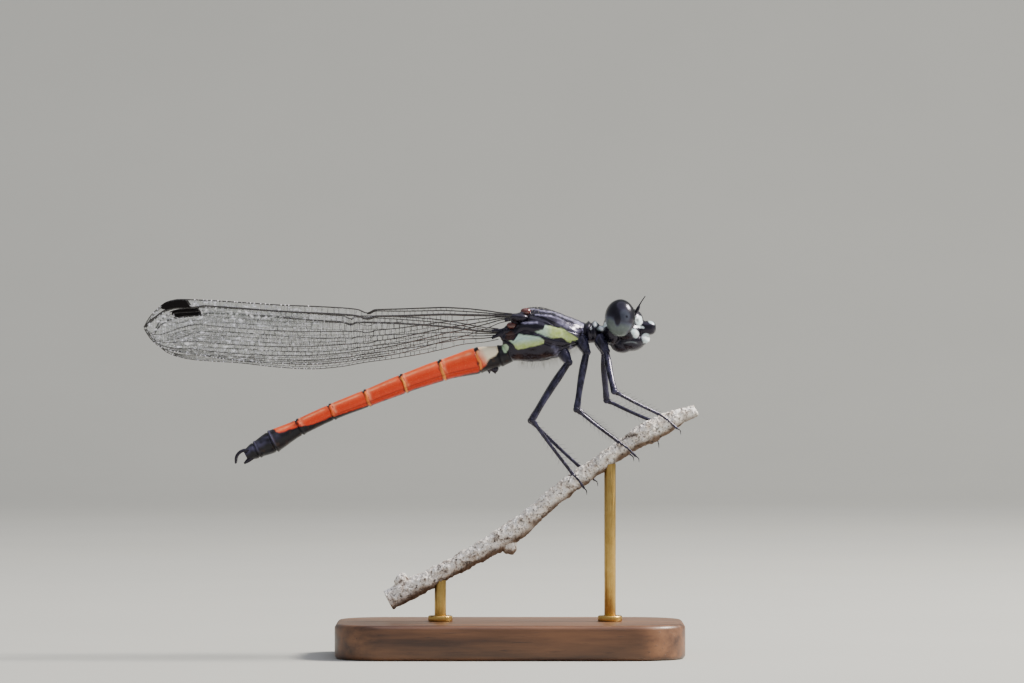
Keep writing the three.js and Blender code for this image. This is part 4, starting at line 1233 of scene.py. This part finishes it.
def vein_lines(spec, side, seed):
    """The strong and the fine lines of the vein net, whose cross veins step like laid bricks."""
    place, veins = wing_place(spec, side), long_veins(spec)
    draw = random.Random(seed)
    length = (side_view(spec["tip"]) - side_view(spec["root"])).length
    costa, hind = through(spec["costa"]), through(spec["hind"])
    strong, fine = [], []
    for first, last, rule, radii, lift in veins:
        steps = max(8, int(120 * (last - first)))
        stations = [mix(first, last, k / steps) for k in range(steps + 1)]
        strong.append([(place(s, rule(s), lift), mix(*radii, s)) for s in stations])

    pitch = bpy.context.scene.damselfly_sizes.cell_length / MM
    for column in range(3, int(length / pitch)):
        station = (column + 0.5) * pitch / length
        knots = crests(veins, station)
        for row, ((near, near_lift), (far, far_lift)) in enumerate(zip(knots, knots[1:])):
            s = station + (0.5 * (row % 2) + draw.uniform(-CELL_SHIFT, CELL_SHIFT)) * pitch / length
            lean = draw.uniform(-CELL_LEAN, CELL_LEAN) * pitch / length
            narrow = (far - near) * (costa(station) - hind(station)) < NARROWEST_CELL
            thinned = station < THINNED_ROOT and (column + row) % 2
            middle = place(s, (near + far) / 2)
            if narrow or thinned or s > NET_END or oval((middle.x, middle.z), *SPOT_CLEARING) > 0.5:
                continue
            line = [
                (place(s + lean * k, mix(near, far, (k + 1) / 2), mix(near_lift, far_lift, (k + 1) / 2)),
                 CROSS_VEIN_RADIUS)
                for k in (-1, 0, 1)
            ]
            (fine if s > draw.uniform(*FINE_VEINS_FROM) else strong).append(line)

    spot_start, spot_end = spec["spot"]
    for k in range(EDGE_BEADS):
        s = BEADS_START + k * BEAD_STEP + draw.uniform(-BEAD_SHIFT, BEAD_SHIFT)
        for edge in (0, 1):
            bead = draw.uniform(*BEAD_RADII)
            if bead > LEAST_BEAD and (edge or not spot_start - 0.01 < s < spot_end):
                fine.append([(place(s, edge), bead), (place(s + 0.003, edge), bead)])
    return strong, fine


def wing_film_piece(spec, side, node):
    """The film between the veins, creased along them, with its haze and glitter painted on."""
    sizes = bpy.context.scene.damselfly_sizes
    place, veins = wing_place(spec, side), long_veins(spec)
    film = grid(f"{node}_film", *FILM_GRID)
    haze, sparkle = [], []
    for vertex in film.data.vertices:
        s, v = vertex.co.x + 0.5, 0.5 - vertex.co.y
        knots = crests(veins, s)
        i = min(max(bisect.bisect_right([part for part, _ in knots], v) - 1, 0), len(knots) - 2)
        (near, near_lift), (far, far_lift) = knots[i:i + 2]
        t = (v - near) / max(far - near, 1e-6)
        vertex.co = place(s, v, mix(near_lift, far_lift, min(max(t, 0), 1)))
        # Painted glints: a whitish band behind the leading vein in the outer half, added to the haze and
        # sparkle
        gleam = hump(v - 0.17, 0.09) * rise(0.4, 0.6, s) * rise(0.87, 0.83, s)
        gleam *= rise(-0.2, 0.3, ragged(vertex.co, 1.2, side))
        clear = 1 - oval((vertex.co.x, vertex.co.z), *SPOT_HALO)
        haze.append(clear * (sizes.film_haze * (0.3 + rise(0.35, 0.95, s)) + 0.35 * gleam))
        sparkle.append(clear * sizes.film_sparkle * (0.25 + 1.2 * rise(0.3, 0.95, s) + gleam))
    recalculate(film)
    paint(film, "haze", haze)
    paint(film, "sparkle", sparkle)
    return film


def wing_spot_piece(spec, side, node):
    """The dark spot, a thin plate that stands a little proud of the film."""
    place = wing_place(spec, side)
    start, end = spec["spot"]
    spot = grid(f"{node}_spot", *SPOT_GRID)
    for vertex in spot.data.vertices:
        t, w = vertex.co.x + 0.5, 0.5 - vertex.co.y
        s = mix(start, end - 0.008 * (2 * w - 1) ** 2, t) - 0.012 * (w - 0.5)
        depth = SPOT_DEPTH + 0.01 * ragged((s * 60, w, 0), 1.0)
        vertex.co = place(s, mix(0.012, depth, w), SPOT_LIFT)
    recalculate(spot)
    apply_modifier(spot, "SOLIDIFY", thickness=SPOT_THICKNESS, offset=0.0)
    apply_modifier(spot, "BEVEL", width=0.02, segments=2)
    return spot


def build_wing(name, side_name):
    spec, side, node = WINGS[name], SIDES[side_name], f"{name}_{side_name}"
    finish(wing_film_piece(spec, side, node), wing_film(), [node])
    strong, fine = vein_lines(spec, side, len(name) * 10 + side)
    finish(threads(f"{node}_veins", strong, roundness=0), wing_vein(), [node])
    finish(threads(f"{node}_cross_veins", fine, roundness=0), cross_vein(), [node])
    stalk = []
    for height, chord_share in STALK_THREADS:
        first, second = (Vector((x, side * y, z + height)) for x, y, z in spec["hinge"])
        root = wing_place(spec, side)(STALK_END, chord_share)
        stalk.append(shoot((first, second, root), STALK_RADII, steps=12))
    finish(threads(f"{node}_stalk", stalk, roundness=3), black_cuticle(), [node])
    finish(wing_spot_piece(spec, side, node), wing_spot(), [node])


# Legs

def bristles(start, end, count, length, radius, side, draw):
    """Two rows of stiff hairs that lean towards the foot."""
    axis = (end - start).normalized()
    across = axis.cross(Vector((0, 1, 0))).normalized()
    lines = []
    for k in range(count):
        for row in (-1, 1):
            t = (k + 0.6 + draw.uniform(-0.15, 0.15)) / count
            out = (across * row * 0.8 + Vector((0, side * 0.5, 0)) + axis * 0.55).normalized()
            reach = length * (1 - 0.35 * abs(2 * t - 1)) * draw.uniform(0.8, 1.1)
            lines.append(hair(start.lerp(end, t), out, reach, radius, axis * 0.12))
    return lines


def build_leg(leg):
    body, hip, knee, ankle, toe = (Vector(point) for point in LEGS[leg])
    side = SIDES[leg.split("_")[-1]]
    draw = random.Random(sum(map(ord, leg)))
    sag = (knee - hip).cross(ankle - knee).normalized().cross(knee - hip).normalized()
    thigh = hip.lerp(knee, 0.5) - sag * THIGH_BOW
    shin = knee.lerp(ankle, 0.5) + Vector((0, 0, -SHIN_SAG))
    lines = [
        shoot((body, body.lerp(hip, 0.5), hip), LEG_RADII["coxa"], steps=14),
        shoot((hip, thigh, knee), LEG_RADII["femur"], steps=30),
        shoot((knee, shin, ankle), LEG_RADII["tibia"], steps=30),
    ]
    foot = [ankle.lerp(toe, t) + Vector((0, 0, FOOT_ARCH * math.sin(math.pi * t))) for t in (0, 0.2, 0.5, 1)]
    for start, end in zip(foot, foot[1:]):
        lines.append(shoot((start, start.lerp(end, 0.5), end), LEG_RADII["tarsus"], steps=8))
    joints = [ball("knee", knee, KNEE_HALF, TINY), ball("hip", hip, HIP_HALF, TINY)]
    nodes = [f"{leg}_{part}" for part in ("femur", "tibia", "tarsus")]
    limb = joined(leg, [threads(leg, lines, roundness=6), *joints])
    finish(limb, leg_cuticle(), nodes)

    forward = (toe - ankle).normalized()
    spines = []
    for (start, end), row in zip(((knee, ankle), (hip, knee), (ankle, toe)), BRISTLE_ROWS):
        spines += bristles(start, end, *row, side, draw)
    for spread in (-1, 1):
        curve = [toe + forward * ahead + Vector((0, spread * aside, up)) for ahead, aside, up in CLAW_CURVE]
        spines.append(shoot((toe, *curve), CLAW_RADII, steps=10))
    finish(threads(f"{leg}_bristles", spines, roundness=0), black_cuticle(), nodes)


# Perch and stand

def build_twig():
    path = Path([side_view(point) for point in TWIG_PATH])
    radius = through(TWIG_RADII)

    def place(along, around, reach):
        return off_axis(*path.at_share(along), around, radius(along) * reach)

    stick = ringed_tube("perch_twig", 48, (20, 12), place)
    twig = moulded("perch_twig", [stick, *balls("lump", TWIG_LUMPS)], SKIN_VOXEL, rounds=2)
    (rear, rear_axis), (front, front_axis) = (path.at_share(end) for end in (0, 1))
    under, cut, cracks = [], [], []
    for vertex, normal in zip(twig.data.vertices, [Vector(n.vector) for n in twig.data.vertex_normals]):
        facing = max(-(normal @ rear_axis), normal @ front_axis)
        past = max((rear - vertex.co) @ rear_axis, (vertex.co - front) @ front_axis)
        sawn = rise(0.75, 0.9, facing) * rise(-0.12, -0.05, past)
        relief = sum(depth * ragged(vertex.co, size, seed) for depth, size, seed in BARK_RELIEF)
        crack = hump(ragged(vertex.co, 0.45, 4.0), 0.07) * rise(-0.15, 0.2, ragged(vertex.co, 0.8, 5.0))
        vertex.co += normal * (relief - CRACK_DEPTH * crack) * (1 - sawn)
        cracks.append(0.8 * crack * (1 - sawn) * rise(0.0, 0.3, ragged(vertex.co, 0.25, 8.0)))
        under.append(rise(0.1, 0.75, -normal.z + 0.35 * ragged(vertex.co, 0.8, 6.0)))
        cut.append(sawn)
    for name, values in (("under", under), ("cut", cut), ("crack", cracks)):
        paint(twig, name, values)
    finish(twig, twig_bark(), ["perch_twig"])


def build_base():
    pick()
    bpy.ops.mesh.primitive_cube_add(size=1, location=(0, 0, BASE_SIZE[2] / 2), scale=BASE_SIZE)
    base = added("stand_base")
    bpy.ops.object.transform_apply(location=True, rotation=False, scale=True)
    select_edges(base, lambda a, b: abs(a.z - b.z) > 1)
    bpy.ops.mesh.bevel(offset=BASE_CORNER, segments=14)
    bpy.ops.object.mode_set(mode="OBJECT")
    apply_modifier(base, "BEVEL", width=BASE_EDGE, segments=4, limit_method="ANGLE",
                   angle_limit=math.radians(50))
    finish(base, oiled_walnut(), ["stand_base"], flat_over=40)


def turned(name, x, foot, top, radius, sides, edge, edge_steps):
    """An upright brass cylinder with rounded edges."""
    pick()
    bpy.ops.mesh.primitive_cylinder_add(vertices=sides, radius=radius, depth=top - foot,
                                        location=(x, 0, (top + foot) / 2))
    bpy.ops.object.transform_apply(location=True, rotation=False, scale=False)
    piece = added(name)
    apply_modifier(piece, "BEVEL", width=edge, segments=edge_steps, limit_method="ANGLE")
    return piece


def build_rods():
    """Two rods, each let into a collar on the base and ending inside the twig's bark."""
    twig_height = through(TWIG_PATH)
    floor = BASE_SIZE[2]
    for name, x in ROD_PLACES.items():
        rod = turned(name, x, floor - ROD_SINK, twig_height(x) - ROD_SHORT, ROD_RADIUS,
                     sides=48, edge=0.05, edge_steps=2)
        collar = turned(f"{name}_collar", x, floor - 0.01, floor + COLLAR_TOP, COLLAR_RADIUS,
                        sides=64, edge=0.12, edge_steps=4)
        finish(joined(name, [rod, collar]), brushed_brass(), [name], flat_over=35)


# Stage

def area_light(name, direction, distance, size, power, colour):
    """A soft round light that looks at the insect from a direction."""
    aim = Vector(direction).normalized()
    data = bpy.data.lights.new(name, "AREA")
    data.shape, data.size, data.energy, data.color = "DISK", size, power, linear(colour)[:3]
    light = bpy.data.objects.new(name, data)
    light.location = side_view(VIEW_CENTRE) * MM + aim * distance
    light.rotation_euler = aim.to_track_quat("Z", "Y").to_euler()
    bpy.context.scene.collection.objects.link(light)


def build_floor():
    """A floor that bends up to a backdrop far behind the insect."""
    half = bpy.context.scene.damselfly_sizes.floor_half / MM
    bend, radius = half * BEND_PLACE, half * BEND_RADIUS
    floor = grid("studio_floor", 2, 60)
    for vertex in floor.data.vertices:
        along = mix(-half, half * FLOOR_DEPTH, vertex.co.y + 0.5)
        turn = min(max((along - bend) / radius, 0), math.pi / 2)
        wall = max(along - bend - radius * math.pi / 2, 0)
        y = min(along, bend) + radius * math.sin(turn)
        vertex.co = (vertex.co.x * 2 * half, y, radius * (1 - math.cos(turn)) + wall)
    floor.data.transform(Matrix.Scale(MM, 4))
    pick(floor)
    bpy.ops.object.shade_smooth()
    floor.data.materials.append(studio_paper())


def build_stage():
    build_floor()
    for name, settings in LIGHTS.items():
        area_light(name, *settings)
    world = bpy.data.worlds.new("studio")
    world.use_nodes = True
    world.node_tree.nodes["Background"].inputs["Color"].default_value = linear(SKY_COLOUR)
    world.node_tree.nodes["Background"].inputs["Strength"].default_value = SKY_STRENGTH
    bpy.context.scene.world = world

    data = bpy.data.cameras.new("photo_camera")
    data.lens, data.sensor_width = LENS_MM, SENSOR_MM
    data.clip_start, data.clip_end = 0.01, 10
    camera = bpy.data.objects.new("photo_camera", data)
    distance = VIEW_WIDTH * LENS_MM / SENSOR_MM
    camera.location = side_view(VIEW_CENTRE, -distance) * MM
    camera.rotation_euler = (math.pi / 2, 0, 0)
    bpy.context.scene.collection.objects.link(camera)
    bpy.context.scene.camera = camera


# Sizes and colours that a user would change

class DamselflySizes(bpy.types.PropertyGroup):
    film_haze: bpy.props.FloatProperty(
        name="Wing haze", description="Share of light that the film stops three quarters of the way out",
        default=0.13, min=0, max=1, subtype="FACTOR")
    film_sparkle: bpy.props.FloatProperty(
        name="Wing sparkle", description="Strength of the small glints on the wing film",
        default=0.62, min=0, max=1, subtype="FACTOR")
    cell_length: bpy.props.FloatProperty(
        name="Wing cell length", description="Distance between neighbouring cross veins",
        default=0.39 * MM, min=0.2 * MM, max=1 * MM, precision=5, unit="LENGTH")
    hair_count: bpy.props.IntProperty(
        name="Body hairs", description="Number of pale hairs on the thorax",
        default=420, min=0, max=1000)
    floor_half: bpy.props.FloatProperty(
        name="Floor reach", description="Half the width of the studio floor",
        default=0.6, min=0.2, unit="LENGTH")


def colour_property(name, description, hex_colour):
    return bpy.props.FloatVectorProperty(
        name=name, description=description, size=3, min=0, max=1, subtype="COLOR",
        default=linear(hex_colour)[:3])


class DamselflyColours(bpy.types.PropertyGroup):
    black: colour_property("Cuticle black", "Darkest colour of the head, feelers and thorax", "#050507")
    mint: colour_property("Patch mint", "Upper colour of the pale side patches", "#B5D6CC")
    lime: colour_property("Patch yellow-green", "Lower colour of the pale side patches", "#A9BE66")
    orange: colour_property("Abdomen orange", "Middle colour of the orange rings", "#E83D0E")
    cream: colour_property("Waist cream", "Colour of the second ring's back", "#FFF0CC")
    walnut: colour_property("Base walnut", "Lighter colour of the base's grain", "#7A5234")


# Operators

class BuildHead(bpy.types.Operator):
    """Head with its face, bulging snout and three small simple eyes"""
    bl_idname = "damselfly.head"
    bl_label = "Head"

    def execute(self, context):
        build_head()
        return {"FINISHED"}


class BuildEyes(bpy.types.Operator):
    """The two large compound eyes"""
    bl_idname = "damselfly.eyes"
    bl_label = "Eyes"

    def execute(self, context):
        build_eyes()
        return {"FINISHED"}


class BuildAntennae(bpy.types.Operator):
    """The two short feelers"""
    bl_idname = "damselfly.antennae"
    bl_label = "Feelers"

    def execute(self, context):
        build_shoots("antenna", ANTENNA_PATH, ANTENNA_RADII, 3)
        return {"FINISHED"}


class BuildThorax(bpy.types.Operator):
    """Neck ring, thorax, wing hinges and body hair"""
    bl_idname = "damselfly.thorax"
    bl_label = "Thorax"

    def execute(self, context):
        build_prothorax()
        build_thorax()
        build_body_hair()
        return {"FINISHED"}


class BuildAbdomen(bpy.types.Operator):
    """The ten rings of the abdomen as one skin"""
    bl_idname = "damselfly.abdomen"
    bl_label = "Abdomen"

    def execute(self, context):
        build_abdomen()
        return {"FINISHED"}


class BuildTailClaspers(bpy.types.Operator):
    """The hooked claspers and short spikes at the tail"""
    bl_idname = "damselfly.tail_claspers"
    bl_label = "Tail claspers"

    def execute(self, context):
        build_tail_claspers()
        return {"FINISHED"}


class BuildForewings(bpy.types.Operator):
    """The front pair of wings"""
    bl_idname = "damselfly.forewings"
    bl_label = "Forewings"

    def execute(self, context):
        for side_name in SIDES:
            build_wing("forewing", side_name)
        return {"FINISHED"}


class BuildHindwings(bpy.types.Operator):
    """The rear pair of wings"""
    bl_idname = "damselfly.hindwings"
    bl_label = "Hindwings"

    def execute(self, context):
        for side_name in SIDES:
            build_wing("hindwing", side_name)
        return {"FINISHED"}


class BuildLegs(bpy.types.Operator):
    """The six legs with their bristles and claws"""
    bl_idname = "damselfly.legs"
    bl_label = "Legs"

    def execute(self, context):
        for leg in LEGS:
            build_leg(leg)
        return {"FINISHED"}


class BuildTwig(bpy.types.Operator):
    """The cut twig that the insect grips"""
    bl_idname = "damselfly.twig"
    bl_label = "Twig"

    def execute(self, context):
        build_twig()
        return {"FINISHED"}


class BuildStand(bpy.types.Operator):
    """Walnut base and two brass rods"""
    bl_idname = "damselfly.stand"
    bl_label = "Stand"

    def execute(self, context):
        build_base()
        build_rods()
        return {"FINISHED"}


class BuildStage(bpy.types.Operator):
    """Pale floor, soft lights and the photograph's camera"""
    bl_idname = "damselfly.stage"
    bl_label = "Stage"

    def execute(self, context):
        build_stage()
        return {"FINISHED"}


OPERATORS = (
    BuildHead, BuildEyes, BuildAntennae, BuildThorax, BuildAbdomen, BuildTailClaspers, BuildForewings,
    BuildHindwings, BuildLegs, BuildTwig, BuildStand, BuildStage,
)


class DamselflyPanel(bpy.types.Panel):
    """Sizes, colours and pieces of the damselfly"""
    bl_idname = "DAMSELFLY_PT_pieces"
    bl_label = "Damselfly"
    bl_space_type = "VIEW_3D"
    bl_region_type = "UI"
    bl_category = "Damselfly"

    def draw(self, context):
        for group in (context.scene.damselfly_sizes, context.scene.damselfly_colours):
            for key in group.bl_rna.properties.keys():
                if key not in ("rna_type", "name"):
                    self.layout.prop(group, key)
        for operator in OPERATORS:
            self.layout.operator(operator.bl_idname)


CLASSES = (DamselflySizes, DamselflyColours, *OPERATORS, DamselflyPanel)


def register():
    for item in CLASSES:
        bpy.utils.register_class(item)
    bpy.types.Scene.damselfly_sizes = bpy.props.PointerProperty(type=DamselflySizes)
    bpy.types.Scene.damselfly_colours = bpy.props.PointerProperty(type=DamselflyColours)


def unregister():
    del bpy.types.Scene.damselfly_colours
    del bpy.types.Scene.damselfly_sizes
    for item in reversed(CLASSES):
        bpy.utils.unregister_class(item)


def main():
    register()
    for operator in OPERATORS:
        group, name = operator.bl_idname.split(".")
        getattr(getattr(bpy.ops, group), name)()


if __name__ == "__main__":
    main()
